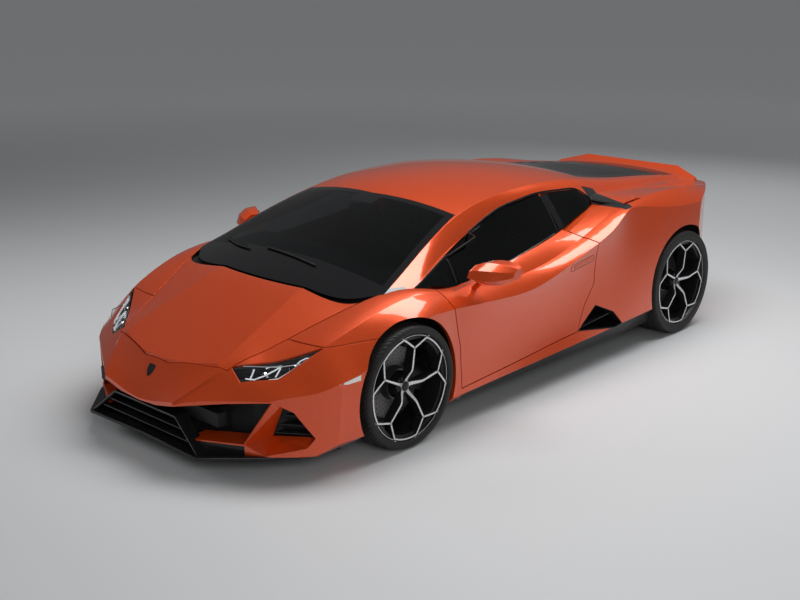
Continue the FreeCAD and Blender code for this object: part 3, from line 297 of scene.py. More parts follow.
# Masks of the black places on painted panels and on the windshield, in the car's metres; the quarter's slot
# mask is painted shade.
def roof_black(x, y, z):
    """1 on the roof's foremost corners and on the pillar between the door window and the rear side window."""
    corner = (y < -1.13) * (z < 0.80)
    pillar = (y > 0.19) * (y < 0.25) * (z < 1.045) * (abs(x) > 0.58)
    return corner + pillar


def painted_slot_shade(x, y, z):
    """1 on the floor of the slot behind the side window, which is painted black as the slot's painted shade.
    """
    side = abs(x)
    across = (side > 0.60) * (side < 0.895)
    behind_window = y > side * 0.31 + 0.452
    return across * behind_window * (y < 0.795) * (z > 0.90)


def screen_border(x, y, z):
    """1 within a hand's breadth of the windshield's edges, and behind the inside mirror."""
    border, half_foot, foot, narrowing = 0.045, 0.747, -1.245, 0.2208
    sides = abs(x) > (half_foot - border) - (y - foot) * narrowing
    top = y > abs(x) * 0.06 - 0.605
    behind_mirror = (abs(x) < 0.09) * (y > -0.68)
    return sides.either(top).either(behind_mirror).either(y < foot + 0.030)


PAINT = paint()
BLACK = gloss_black()
GRAIN = grained_black()
# Satin metal: real trim on the wheels' caps, and a painted highlight on the nose's edges and at the door
# window's foot.
SATIN_TRIM_AND_HIGHLIGHT = metal("satin_trim_and_highlight", rgb(0.30, 0.30, 0.31), rgb(0.42, 0.42, 0.43), 0.25, 0.35)
BRIGHT = metal("machined_face", rgb(0.72, 0.72, 0.73), rgb(0.86, 0.86, 0.87), 0.22, 0.34, 160.0, 0.35)
CHROME = metal("polished_reflector", rgb(0.66, 0.66, 0.68), rgb(0.82, 0.82, 0.84), 0.06, 0.14)
RUBBER = rubber()
ORANGE_HIDE = leather("orange_leather", rgb(0.55, 0.075, 0.012), rgb(0.68, 0.11, 0.02))
HIDE = leather("seat_leather", rgb(0.012, 0.012, 0.012), rgb(0.024, 0.024, 0.024))
WHITE_LIGHT = light_bar("white_light_bar", rgb(0.86, 0.88, 0.92), 0.4)
RED_LIGHT = light_bar("red_light_bar", rgb(0.85, 0.03, 0.02), 0.5)
MILKY = light_bar("milky_lens", rgb(0.80, 0.78, 0.74), 0.08)
FINISH = {
    "paint": PAINT, "black_gloss": BLACK, "black_plastic": GRAIN, "tub": weave(),
    "glass": glass("tinted_glass", rgb(0.13, 0.15, 0.16)),
    "tail_lens": glass("red_lens", rgb(0.6, 0.02, 0.02), None, 0.05),
    "frame_metal": metal("frame_aluminium", rgb(0.42, 0.42, 0.44), rgb(0.58, 0.58, 0.6), 0.35, 0.5),
    "exhaust": metal("exhaust_steel", rgb(0.28, 0.26, 0.24), rgb(0.45, 0.43, 0.4), 0.25, 0.4),
    "dash": leather("dash_leather", rgb(0.010, 0.010, 0.010), rgb(0.018, 0.018, 0.019)),
    "seat": HIDE, "trim": leather("wheel_leather", rgb(0.01, 0.01, 0.01), rgb(0.02, 0.02, 0.02)),
    "rim": gloss_black("rim_black"), "tyre": RUBBER,
    "carrier": metal("carrier_iron", rgb(0.02, 0.02, 0.02), rgb(0.05, 0.05, 0.05), 0.3, 0.45),
}
# Quarter panels: pearl orange, with painted shade, in black, on the floor of the slot behind the side window.
QUARTER_PAINT_SLOT_SHADE = paint("pearl_orange_quarter_slot_shade", painted_slot_shade)
SPECIAL = {
    "windshield": glass("screen_glass", rgb(0.20, 0.235, 0.24), screen_border),
    "headlamps": glass("lamp_cover", rgb(0.93, 0.94, 0.95)),
    "roof": paint("pearl_orange_roof", roof_black),
    "quarter_left": QUARTER_PAINT_SLOT_SHADE,
    "quarter_right": QUARTER_PAINT_SLOT_SHADE,
    # The whole front frame is near black; it shows inside the intakes.
    "front_frame": metal("near_black_frame", rgb(0.010, 0.010, 0.010), rgb(0.020, 0.020, 0.020), 0.4, 0.6,
                         metallic=0.2),
}
SLOT_OF = {part["node"]: part["material_slot"] for part in frame["record"]["subparts"]}
for node, solid in frame["nodes"].items():
    solid.data.materials.clear()
    solid.data.materials.append(SPECIAL.get(node) or FINISH[SLOT_OF[node]])


# Shapes: every one is a grid of points worked out at once.
class Shell:
    """Points (rows, columns, 3), or several alike (copies, rows, columns, 3), and how their faces close.

    finish is the number of the piece's finish, or one number for each column of faces.
    """

    def __init__(self, grid, wrap_rows=False, wrap_columns=True, capped=True, finish=0):
        grid = np.asarray(grid, float)
        self.grid = grid if grid.ndim == 4 else grid[None]
        self.wrap_rows, self.wrap_columns, self.capped, self.finish = wrap_rows, wrap_columns, capped, finish

    def moved(self, change):
        """The shell with its points put through a function."""
        return Shell(change(self.grid), self.wrap_rows, self.wrap_columns, self.capped, self.finish)

    def faces(self, start):
        """Index quads of all copies, their finishes, and the end caps."""
        copies, rows, columns = self.grid.shape[:3]
        r, c = np.meshgrid(np.arange(rows if self.wrap_rows else rows - 1),
                           np.arange(columns if self.wrap_columns else columns - 1), indexing="ij")
        r_next, c_next = (r + 1) % rows, (c + 1) % columns
        quads = np.stack([r * columns + c, r_next * columns + c, r_next * columns + c_next,
                          r * columns + c_next], -1).reshape(-1, 4)
        shift = start + np.arange(copies)[:, None, None] * rows * columns
        marks = np.tile(np.broadcast_to(self.finish, r.shape).reshape(-1), copies)
        caps = []
        if self.capped:
            ends = np.stack([np.arange(columns)[::-1], np.arange(columns) + (rows - 1) * columns])
            caps = (ends[None] + shift).reshape(-1, columns).tolist()
        return (quads[None] + shift).reshape(-1, 4), marks, caps


def piece(name, shells, finishes, body, sharp=35.0, replaces=()):
    """Joins shells to one mesh object that rides on a body; edges above the sharp angle stay edges."""
    points, quads, marks, caps, start = [], [], [], [], 0
    for shell in shells:
        flat = shell.grid.reshape(-1, 3)
        face, mark, ends = shell.faces(start)
        points.append(flat)
        quads.append(face)
        marks.append(mark)
        cap_mark = 0 if np.ndim(shell.finish) else shell.finish
        caps += [(end, cap_mark) for end in ends]
        start += len(flat)
    faces = np.concatenate(quads).tolist() + [end for end, mark in caps]
    mesh = bpy.data.meshes.new(name)
    mesh.from_pydata(np.concatenate(points).tolist(), [], faces)
    mesh.polygons.foreach_set("material_index", np.concatenate(marks).tolist() + [mark for end, mark in caps])
    for finish in finishes:
        mesh.materials.append(finish)
    shape = bmesh.new()
    shape.from_mesh(mesh)
    bmesh.ops.remove_doubles(shape, verts=shape.verts, dist=1e-6)
    bmesh.ops.recalc_face_normals(shape, faces=shape.faces)
    shape.to_mesh(mesh)
    shape.free()
    mesh.polygons.foreach_set("use_smooth", np.ones(len(mesh.polygons), bool))
    mesh.set_sharp_from_angle(angle=math.radians(sharp))
    made = bpy.data.objects.new(name, mesh)
    bpy.context.scene.collection.objects.link(made)
    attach(made, body)
    if replaces:
        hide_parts(*replaces)
    return made


def mm(*points):
    """Points in millimetres as an array in metres."""
    return np.array(points, float) / 1000.0


def unit(rows):
    """Each row divided by its length."""
    return rows / np.maximum(np.linalg.norm(rows, axis=-1, keepdims=True), 1e-12)


def sweep(path, profile, up=(0.0, 0.0, 1.0), closed=False, finish=0):
    """A profile of (side, up) offsets carried along a path.

    Each point is the path's point plus side times the direction across the path plus up times the direction
    square to both; the side offsets grow at corners by one over the cosine of half the corner.
    """
    path = np.asarray(path, float)
    ahead = unit(np.roll(path, -1, 0) - path)
    behind = np.roll(ahead, 1, 0)
    if not closed:
        ahead[-1] = ahead[-2]
        behind[0] = ahead[0]
    along = unit(ahead + behind)
    across = unit(np.cross(along, np.broadcast_to(up, path.shape)))
    lift = np.cross(across, along)
    widen = 1.0 / np.clip((along * ahead).sum(-1), 0.45, 1.0)
    profile = np.broadcast_to(profile, (len(path),) + np.shape(profile)[-2:])
    grid = (path[:, None] + across[:, None] * profile[..., :1] * widen[:, None, None]
            + lift[:, None] * profile[..., 1:])
    return Shell(grid, closed, True, not closed, finish)


def round_bar(radius, count=8):
    """The circle: radius times cosine and sine of equal steps."""
    angle = np.arange(count) * math.tau / count
    return radius * np.stack([np.cos(angle), np.sin(angle)], -1)


def flat_bar(width, height, edge=0.25):
    """A flat section whose upper corners are cut off by a share of its height."""
    w, cut = width / 2, height * edge
    return np.array([(-w + cut, height), (w - cut, height), (w, height - cut), (w, 0), (-w, 0),
                     (-w, height - cut)])


def turned(profile, centre, steps=96, axis=0, closed=True, finish=0):
    """A profile of (along, radius) points turned about an axis through centre: along on the axis, and
    radius times cosine and sine on the other two."""
    profile = np.asarray(profile, float)
    angle = np.arange(steps)[:, None] * math.tau / steps
    grid = np.zeros((steps, len(profile), 3))
    first, second = [k for k in range(3) if k != axis]
    grid[..., axis] = profile[:, 0]
    grid[..., first] = profile[:, 1] * np.cos(angle)
    grid[..., second] = profile[:, 1] * np.sin(angle)
    return Shell(grid + np.asarray(centre), True, closed, False, finish)


def slab(outline, shift, finish=0):
    """A flat outline and the same outline moved by shift, joined all round."""
    outline = np.asarray(outline, float)
    return Shell(np.stack([outline, outline + np.asarray(shift)]), False, True, True, finish)


def swollen(centre, radii, squareness=0.45, tilt=0.0, rows=18, columns=28, finish=0):
    """A rounded cushion: an ellipsoid whose cosines and sines are raised to a power below 1, turned by tilt
    about x."""
    v = np.linspace(-math.pi / 2, math.pi / 2, rows)[:, None]
    u = (np.arange(columns) * math.tau / columns)[None]

    def power(values):
        return np.sign(values) * np.abs(values) ** squareness

    grid = np.stack([power(np.cos(v)) * power(np.cos(u)), power(np.cos(v)) * power(np.sin(u)),
                     power(np.sin(v)) + 0 * u], -1) * np.asarray(radii)
    c, s = math.cos(tilt), math.sin(tilt)
    grid = grid @ np.array([(1, 0, 0), (0, c, s), (0, -s, c)])
    return Shell(grid + np.asarray(centre), False, True, False, finish)


def around(grid, centre, angles):
    """Copies of a grid turned about the x axis through centre."""
    grid = np.asarray(grid, float)
    offset = grid - np.asarray(centre)
    y, z = offset[..., 1], offset[..., 2]
    turns = [np.stack([offset[..., 0], y * math.cos(a) - z * math.sin(a),
                       y * math.sin(a) + z * math.cos(a)], -1) for a in angles]
    return np.stack(turns) + np.asarray(centre)


def curve(points, count=40):
    """A smooth line through points: a cubic between each two whose slopes are half the chord across."""
    points = np.asarray(points, float)
    padded = np.concatenate([2 * points[:1] - points[1:2], points, 2 * points[-1:] - points[-2:-1]])
    t = np.linspace(0, len(points) - 1, count)
    k = np.minimum(t.astype(int), len(points) - 2)
    u = (t - k)[:, None]
    a, b, c, d = (padded[k + n] for n in range(4))
    bend, twist = 2 * a - 5 * b + 4 * c - d, 3 * b - a - 3 * c + d
    return 0.5 * (2 * b + (c - a) * u + bend * u ** 2 + twist * u ** 3)


def straight(points, count=40):
    """Equal steps of arc length along the straight runs between points."""
    points = np.asarray(points, float)
    reach = np.concatenate([[0], np.cumsum(np.linalg.norm(np.diff(points, axis=0), axis=1))])
    t = np.union1d(np.linspace(0, reach[-1], count), reach)
    return np.stack([np.interp(t, reach, points[:, k]) for k in range(3)], -1)


def mirrored(shells):
    """The shells on the car's other side."""
    return [shell.moved(lambda grid: grid * (-1, 1, 1)) for shell in shells]


def pair(name, shells, finishes, body):
    """The piece on the left, and its mirror image on the right; body may hold {side}."""
    for side, half in (("left", shells), ("right", mirrored(shells))):
        piece(name + "_" + side, half, finishes, body.format(side=side))


TREES = {}


def skin(node):
    """A node's faces as a search tree."""
    if node not in TREES:
        mesh = frame["nodes"][node].data
        corners = np.empty(len(mesh.vertices) * 3)
        mesh.vertices.foreach_get("co", corners)
        faces = [face.vertices[:] for face in mesh.polygons]
        TREES[node] = BVHTree.FromPolygons(corners.reshape(-1, 3).tolist(), faces)
    return TREES[node]


def laid(points, direction, nodes, lift=0.0):
    """Points of a line moved along a direction on to the first node they meet, then lifted back."""
    heading = Vector(direction).normalized()
    found = []
    for point in np.asarray(points, float):
        start = Vector(point) - heading * 0.6
        hits = [hit for hit in (skin(node).ray_cast(start, heading, 1.2) for node in nodes) if hit[0]]
        if hits:
            place, normal, face, away = min(hits, key=lambda hit: hit[3])
            found.append(place - heading * lift)
        else:
            found.append(Vector(point))
    return np.array([tuple(place) for place in found])


def honeycomb(outline, cell, bar, lift, depth):
    """Bars along the edges of a hexagon grid inside a flat outline of (across, up) points. The centres stand
    a cell times the root of 3 apart, and the rows one and a half cells; an edge is inside when a line from
    its middle crosses the outline an odd number of times.

    lift carries (across, up) pairs to points in the car, and depth is the shift to the bars' other side.
    """
    outline = np.asarray(outline, float)
    low, high = outline.min(0), outline.max(0)
    pitch = np.array([cell * math.sqrt(3), cell * 1.5])
    rows = np.arange(int((high[1] - low[1]) / pitch[1]) + 2)
    columns = np.arange(int((high[0] - low[0]) / pitch[0]) + 2)
    c, r = np.meshgrid(columns, rows)
    centre = np.stack([low[0] + (c + 0.5 * (r % 2)) * pitch[0], low[1] + r * pitch[1]], -1).reshape(-1, 2)
    angle = np.radians([-90, -30, 30, 90])
    corner = centre[:, None] + cell * np.stack([np.cos(angle), np.sin(angle)], -1)
    starts, ends = corner[:, :-1].reshape(-1, 2), corner[:, 1:].reshape(-1, 2)
    middle = (starts + ends) / 2
    a, b = outline, np.roll(outline, -1, 0)
    across, up = middle[:, None, 0], middle[:, None, 1]
    spans = (a[:, 1] > up) != (b[:, 1] > up)
    edge = a[:, 0] + (b[:, 0] - a[:, 0]) * (up - a[:, 1]) / (b[:, 1] - a[:, 1] + 1e-12)
    inside = (spans & (across < edge)).sum(1) % 2 == 1
    starts, ends = starts[inside], ends[inside]
    along = unit(ends - starts)
    half = np.stack([-along[:, 1], along[:, 0]], -1) * bar / 2
    loop = np.stack([starts - half, starts + half, ends + half, ends - half], 1)
    front = lift(loop)
    return Shell(np.stack([front, front + np.asarray(depth)], 1))


# Wheels.
SPOKES = 5
TURNS = [SPOKE_LEAN + k * math.tau / SPOKES for k in range(SPOKES)]
SPOKE_SINK = 0.0005
HUB_SINK = 0.0405
BRIGHT_TOP = np.array([1, 0, 0, 0, 0, 0, 0, 0])
# Half the width of the arm's bright top and the arm's depth, from the hub outwards.
ARM_SIZES = ((0.0105, 0.020), (0.0095, 0.022), (0.0066, 0.050), (0.0056, 0.052), (0.0050, 0.050),
             (0.0048, 0.046))
FORK_HALF_WIDTH = 0.0046
FORK_DEPTHS = (0.046, 0.042, 0.034)


def barrel(half, hub):
    """The rim without its spokes: flanges, bead seats and drop well, turned about the axle."""
    edge, flange, bead = half * 1000, FLANGE * 1000, BEAD * 1000
    outside = [(edge, flange), (edge - 8, flange), (edge - 12, bead), (12 - edge, bead), (8 - edge, flange),
               (-edge, flange)]
    inside = [(-edge, 268), (4 - edge, 242), (edge - 60, 238), (edge - 16, 250), (edge - 12, 264),
              (edge - 3, 268), (edge - 1, 272)]
    return turned(mm(*outside, *inside), hub, 144)


def spoke_section(width, depth):
    """A bright top of twice the width, small bevels, and walls that lean out down to the depth."""
    return [(-width, 0), (width, 0), (width + 0.0022, -0.0026), (width + 0.0042, -0.016),
            (width + 0.0062, -depth), (-width - 0.0062, -depth), (-width - 0.0042, -0.016),
            (-width - 0.0022, -0.0026)]


def spokes(hub, hub_face, face):
    """Five times an arm from the hub, its two forks to the rim, and the bright arcs that join the forks."""
    outward = (1, 0, 0)
    arm = np.array([(hub_face + 0.001, 0, 0.024), (hub_face + 0.006, 0, 0.040), (face - 0.004, 0, 0.086),
                    (face, 0, 0.100), (face, 0, 0.160), (face, 0, 0.2135)])
    arm_sections = np.array([spoke_section(width, depth) for width, depth in ARM_SIZES])
    shapes = [sweep(arm, arm_sections, outward, False, BRIGHT_TOP)]
    fork_sections = np.array([spoke_section(FORK_HALF_WIDTH, depth) for depth in FORK_DEPTHS])
    for sign in (-1, 1):
        fork = np.array([(face, 0, 0.2085), (face, sign * 0.052, 0.2385),
                         (face - 0.0004, sign * 0.104, 0.2665)])
        shapes.append(sweep(fork, fork_sections, outward, False, BRIGHT_TOP))
    fork_angle = math.atan2(0.099, 0.264)
    beside = np.linspace(fork_angle - 0.02, math.tau / SPOKES - fork_angle + 0.02, 14)
    between = np.linspace(-fork_angle + 0.07, fork_angle - 0.07, 18)
    for radius, angles, width in ((0.2690, beside, 0.0088), (0.2752, between, 0.0034)):
        arc = np.stack([np.full(len(angles), face - 0.0006), radius * np.sin(angles),
                        radius * np.cos(angles)], -1)
        strip = flat_bar(width, 0.0016) - (0, 0.0008)
        shapes.append(sweep(arc, strip, outward, False, BRIGHT_TOP[:6]))
    return [Shell(around(shape.grid[0] + hub, hub, TURNS), False, True, True, shape.finish)
            for shape in shapes]


def hub_parts(hub, hub_face):
    """The hub's ring, five nuts, the bright ring round the plain cap, the cap, and the bell behind them."""
    face = hub_face * 1000
    ring = turned(mm((20, 28), (face - 1, 28), (face, 36), (face - 11, 60), (20, 70)), hub, 72)
    nut = turned(mm((face - 20, 0), (face - 20, 9.5), (face - 2, 9.5), (face, 7.5), (face, 0)),
                 hub + (0, 0, 0.052), 6, 0, False, 2)
    nuts = Shell(around(nut.grid[0], hub, [turn + math.pi / SPOKES for turn in TURNS]), True, False, False, 2)
    cap_ring = turned(mm((face - 8, 0), (face - 8, 29), (face + 1.5, 29), (face + 3.2, 27.5),
                         (face + 2.4, 25)), hub, 48, 0, False, 3)
    cap = turned(mm((face + 0.5, 27), (face + 2.4, 25), (face + 4.6, 17), (face + 5.6, 8), (face + 5.8, 0)),
                 hub, 48, 0, False, 0)
    bell = turned(mm((-50, 27), (66, 27), (66, 60), (40, 74), (-50, 74)), hub, 64)
    return [ring, nuts, cap_ring, cap, bell]


def wheel(end, side):
    """Barrel, forked spokes and hub in one piece, and the vented brake disc behind it."""
    hub, half = np.array(HUB[end]), HALF_RIM[end]
    hub_face = half - HUB_SINK
    shells = [barrel(half, hub)] + spokes(hub, hub_face, half - SPOKE_SINK) + hub_parts(hub, hub_face)
    disc = [turned(mm((-50, 66), (-50, 190), (-38, 190), (-38, 120), (-28, 120), (-28, 190), (-16, 190),
                      (-16, 92), (22, 82), (22, 70)), hub, 96)]
    if side == "right":
        shells, disc = mirrored(shells), mirrored(disc)
    body = end + "_wheel_" + side
    finishes = [FINISH["rim"], BRIGHT, FINISH["carrier"], SATIN_TRIM_AND_HIGHLIGHT]
    piece(end + "_wheel_face_" + side, shells, finishes, body, 30.0, [end + "_rim_" + side])
    piece(end + "_brake_disc_" + side, disc, [DISCS[end]], body)


TREAD_STEPS, TREAD_CUTS = 720, 72
GROOVE_DEPTH, CUT_DEPTH = 0.0065, 0.0042


def tyre(end, side):
    """A turned tyre: the radius falls by a parabola over the tread, less the depth of the long grooves at
    their places across and of the slanted cuts at equal angles; the walls are a smooth line with two rings."""
    hub, half, radius = np.array(HUB[end]), HALF_TYRE[end], HUB[end][2]
    wall = curve([(half - 0.024, BEAD + 0.0003, 0), (half - 0.0195, FLANGE + 0.001, 0),
                  (half - 0.009, FLANGE + 0.005, 0), (half - 0.0028, FLANGE + 0.0125, 0),
                  (half - 0.0002, FLANGE + 0.022, 0), (half - 0.0010, radius - 0.017, 0),
                  (half - 0.0060, radius - 0.0085, 0), (half - 0.0150, radius - 0.0046, 0)], 26)[:, :2]
    for ring, rise in ((slice(9, 11), 0.0009), (slice(13, 15), 0.0007)):
        wall[ring, 0] += rise
    tread_half = half - 0.019
    grooves = np.array([-0.62, -0.21, 0.21, 0.62]) * tread_half
    edges = np.concatenate([[g - 0.0052, g - 0.0044, g + 0.0044, g + 0.0052] for g in grooves])
    across = np.union1d(edges, np.linspace(-tread_half, tread_half, 19))[::-1]
    grooved = (np.abs(across[:, None] - grooves) < 0.0046).any(1)
    tread = np.stack([across, radius - 0.0035 * (across / tread_half) ** 2], -1)
    line = np.concatenate([wall, tread, (wall * (-1, 1))[::-1]])
    on_wall = np.zeros(len(wall))
    depth = np.concatenate([on_wall, np.where(grooved, GROOVE_DEPTH, 0.0), on_wall])
    angle = np.arange(TREAD_STEPS)[:, None] * math.tau / TREAD_STEPS
    slant = line[:, 0] * 3.2
    cut = ((angle * TREAD_CUTS / math.tau + slant * TREAD_CUTS / math.tau + 0.5) % 1.0) < 0.15
    shoulder = np.abs(line[:, 0]) > half - 0.004
    middle_rib = np.abs(line[:, 0]) < grooves[2]
    outer = line[:, 1] > radius - 0.016
    sunk = np.where(cut & ~shoulder & ~middle_rib & outer, CUT_DEPTH, 0.0)
    reach = line[:, 1] - np.maximum(depth, sunk)
    grid = np.stack([np.broadcast_to(line[:, 0], reach.shape), reach * np.cos(angle),
                     reach * np.sin(angle)], -1)
    shells = [Shell(grid + hub, True, True, False)]
    if side == "right":
        shells = mirrored(shells)
    piece(end + "_tread_tyre_" + side, shells, [RUBBER], end + "_wheel_" + side, 32.0,
          [end + "_tyre_" + side])


DISCS = {end: drilled(end) for end in HUB}
for end in HUB:
    for side in ("left", "right"):
        wheel(end, side)
        tyre(end, side)


# Headlamps: two forked light bars in each, two round lenses, and a bright strip on the bowl's wall.
DOWN = (0.0, 0.0, -1.0)
UP = (0.0, 0.0, 1.0)
INWARD = (-1.0, 0.0, 0.0)
FORWARD = (0.0, -1.0, 0.0)
BAR_SINK, STRIP_SINK, LENS_SINK = 0.0118, 0.010, 0.036
# Each bar's line on the lamp in plan, in millimetres, and its width in metres.
LAMP_BARS = (
    ([(550, -2012), (590, -1990), (621, -1946), (658, -1868)], 0.0105),
    ([(652, -1872), (633, -1889), (607, -1905), (598, -1922)], 0.008),
    ([(572, -2003), (565, -1981), (553, -1958)], 0.008),
    ([(650, -1950), (687, -1920), (729, -1841), (764, -1768)], 0.0105),
    ([(757, -1783), (742, -1786), (723, -1811), (720, -1828)], 0.008),
    ([(668, -1923), (664, -1902), (658, -1880)], 0.008),
)
LAMP_LENSES = ((600, -1944), (700, -1838))


def lamp_line(points, depth, count=14):
    """Plan points in millimetres, let down on the lamp's cover and sunk below it."""
    plan = straight([(x / 1000, y / 1000, 0.55) for x, y in points], count)
    return laid(plan, DOWN, ["headlamps"], -depth)


def facing_forward(shell, middle):
    """A shell turned about y, swapped end for end so that its front looks to the nose."""
    return shell.moved(lambda grid: np.stack([grid[..., 0], 2 * middle[1] - grid[..., 1], grid[..., 2]], -1))


lamp_bars = [sweep(lamp_line(points, BAR_SINK), flat_bar(width, 0.004, 0.3), UP)
             for points, width in LAMP_BARS]
pair("headlamp_bars", lamp_bars, [WHITE_LIGHT], "chassis")
lamp_lenses = []
for x, y in LAMP_LENSES:
    middle = lamp_line([(x, y), (x + 1, y)], LENS_SINK, 2)[0]
    lens = turned(mm((-14, 0), (-14, 24), (0, 24), (6, 19), (9, 10), (10, 0)), middle, 40, 1, False, 0)
    ring = turned(mm((-12, 24.5), (1, 24.5), (2, 27), (-12, 29)), middle, 40, 1, True, 1)
    lamp_lenses += [facing_forward(lens, middle), facing_forward(ring, middle)]
pair("headlamp_lenses", lamp_lenses, [BLACK, CHROME], "chassis")
lamp_wall = lamp_line([(560, -2030), (690, -1934), (782, -1742)], STRIP_SINK, 20)
pair("headlamp_strip", [sweep(lamp_wall, flat_bar(0.004, 0.004), UP)], [CHROME], "chassis")

# Side marker: a pale wedge before the front arch.
marker = laid(mm((928, -1752, 472), (940, -1700, 464), (951, -1628, 468), (951, -1626, 494),
                 (942, -1690, 482)), INWARD, ["front_bumper"], 0.0015)
pair("front_marker", [slab(marker, (-0.004, 0, 0))], [MILKY], "chassis")

# Trim about the side windows; the satin bar at the door window's foot is trim and also a painted highlight of
# that line.
WINDOW_TOP = mm((720, -1083, 786), (720, -784, 862), (720, -484, 945), (720, -300, 998), (720, -149, 1034),
                (720, 40, 1056), (720, 210, 1066), (720, 400, 1056), (720, 570, 1038), (720, 668, 972))
WINDOW_FOOT = mm((862, -855, 735), (835, -700, 738), (805, -500, 755), (797, -305, 777), (776, -40, 812),
                 (757, 180, 846))
SLANT = (-0.75, 0.0, -0.66)
top_line = laid(curve(WINDOW_TOP, 90), INWARD,
                ["roof", "quarter_left", "side_lights", "door_glass_left"], 0.0006)
pair("window_top_trim", [sweep(top_line, flat_bar(0.011, 0.003), (1, 0, 0.5))], [BLACK], "chassis")
# A satin bar along the door window's foot: trim whose light colour also paints the highlight along that line.
door_line = laid(curve(WINDOW_FOOT, 60), SLANT, ["door_left"], 0.0)
pair("door_window_trim", [sweep(door_line, round_bar(0.0028), UP)], [SATIN_TRIM_AND_HIGHLIGHT], "door_{side}")
pillar = laid(straight(mm((620, 244, 1064), (740, 262, 862)), 16), INWARD, ["side_lights"], 0.0005)
pair("pillar_cover", [sweep(pillar, flat_bar(0.058, 0.0025, 0.2), (1, 0, 0.4))], [BLACK], "chassis")
corner_post = laid(straight(mm((700, -737, 866), (790, -758, 748)), 12), INWARD,
                   ["side_lights", "door_glass_left"], 0.0004)
pair("front_light_post", [sweep(corner_post, flat_bar(0.020, 0.003, 0.3), (1, 0, 0.4))], [BLACK], "chassis")

# Door handle: a flush bar with its outline, which climbs a tenth of its length to the rear.
HANDLE = (0.95, 0.237, 0.684)
HANDLE_CLIMB = 0.10
handle = mm((-118, -12), (-106, -19), (106, -19), (118, -10), (118, 10), (106, 19), (-106, 19), (-118, 12))
along, up = handle.T
handle_loop = np.stack([0 * along, along, up + HANDLE_CLIMB * along], -1) + HANDLE
handle_ring = straight(np.concatenate([handle_loop, handle_loop[:1]]), 70)[:-1]
handle_line = laid(handle_ring, INWARD, ["door_left"], 0.0)
pair("door_handle_seam", [sweep(handle_line, round_bar(0.0016, 6), (1, 0, 0), True)], [GRAIN], "door_{side}")
grip_line = laid(straight([(0.95, 0.15, 0.676), (0.95, 0.33, 0.694)], 24), INWARD, ["door_left"], -0.0015)
pair("door_handle_bar", [sweep(grip_line, flat_bar(0.018, 0.0035, 0.45), (1, 0, 0))], [PAINT], "door_{side}")

# Nose: a bare shield, and thin satin edges on the black frame and on the splitter, which paint a highlight
# along those edges.
shield = mm((-24, 0), (-26, 26), (-20, 34), (20, 34), (26, 26), (24, 0), (14, -20), (0, -30), (-14, -20))
shield_points = np.stack([shield[:, 0], -2.190 + shield[:, 1] * 0.75, 0.445 + shield[:, 1] * 0.66], -1)
shield_face = laid(shield_points, (0.0, 0.66, -0.75), ["front_bumper"], 0.0022)
piece("nose_shield", [slab(shield_face, (0, 0.0035, -0.0040))], [GRAIN], "chassis")
# The satin tubes along the frame and the splitter are painted highlights of their edges.
foot, top = np.array((0.456, NOSE + 0.0125, FLOOR - 0.004)), np.array((0.256, NOSE + 0.0305, 0.270))
flip = np.array((-1, 1, 1))
frame_edge_highlight = sweep(np.array([foot, top, top * flip, foot * flip]), flat_bar(0.0018, 0.0018), FORWARD)
EDGE_HEIGHT = FLOOR - 0.002
blade_line = [(x, NOSE + back, EDGE_HEIGHT)
              for x, back in ((-0.458, 0.004), (-0.2, 0.009), (0, 0.014), (0.2, 0.009), (0.458, 0.004))]
blade_edge_highlight = sweep(curve(blade_line, 40), round_bar(0.0016, 6), UP)
side_line = np.array([(x, y, EDGE_HEIGHT)
                      for x, y in ((0.462, NOSE + 0.006), (0.690, -2.045), (0.800, -1.905))])
side_edge_highlight = [sweep(side_line, round_bar(0.0018, 6), UP)]
piece("edge_highlight_tubes", [frame_edge_highlight, blade_edge_highlight] + side_edge_highlight + mirrored(side_edge_highlight), [SATIN_TRIM_AND_HIGHLIGHT], "chassis")


def upright(y):
    """Carries (across, height) pairs to the plane across the car at y."""
    return lambda flat: np.stack([flat[..., 0], np.full(flat.shape[:-1], y), flat[..., 1]], -1)


def outer_intake(flat):
    """Carries (across, up) pairs to the slanted wall behind the left outer opening."""
    return np.stack([0.452 + flat[..., 0] * 0.94, -2.028 + flat[..., 0] * 0.35, 0.245 + flat[..., 1]], -1)


mouth_mesh = honeycomb([(-0.44, 0.13), (-0.25, 0.255), (0.25, 0.255), (0.44, 0.13)], 0.014, 0.0024,
                       upright(-2.068), (0, 0.004, 0))
side_mesh = honeycomb([(-0.12, -0.10), (-0.12, 0.13), (0.12, 0.16), (0.12, -0.10)], 0.014, 0.0024,
                      outer_intake, (0, 0.004, 0))
piece("intake_mesh", [mouth_mesh, side_mesh] + mirrored([side_mesh]), [GRAIN], "chassis")

# Wipers on the screen's foot: an arm, and the blade behind it.
wipers = []
for line in (mm((250, -1268, 900), (60, -1250, 900), (-190, -1228, 900)),
             mm((-300, -1262, 900), (-440, -1238, 900), (-600, -1180, 900))):
    arm = laid(curve(line, 24), DOWN, ["windshield", "front_lid"], 0.006)
    blade = arm[3:] + (0, 0.010, 0.001)
    wipers += [sweep(arm, flat_bar(0.010, 0.006), UP), sweep(blade, flat_bar(0.005, 0.010), UP)]
piece("wipers", wipers, [GRAIN], "chassis")

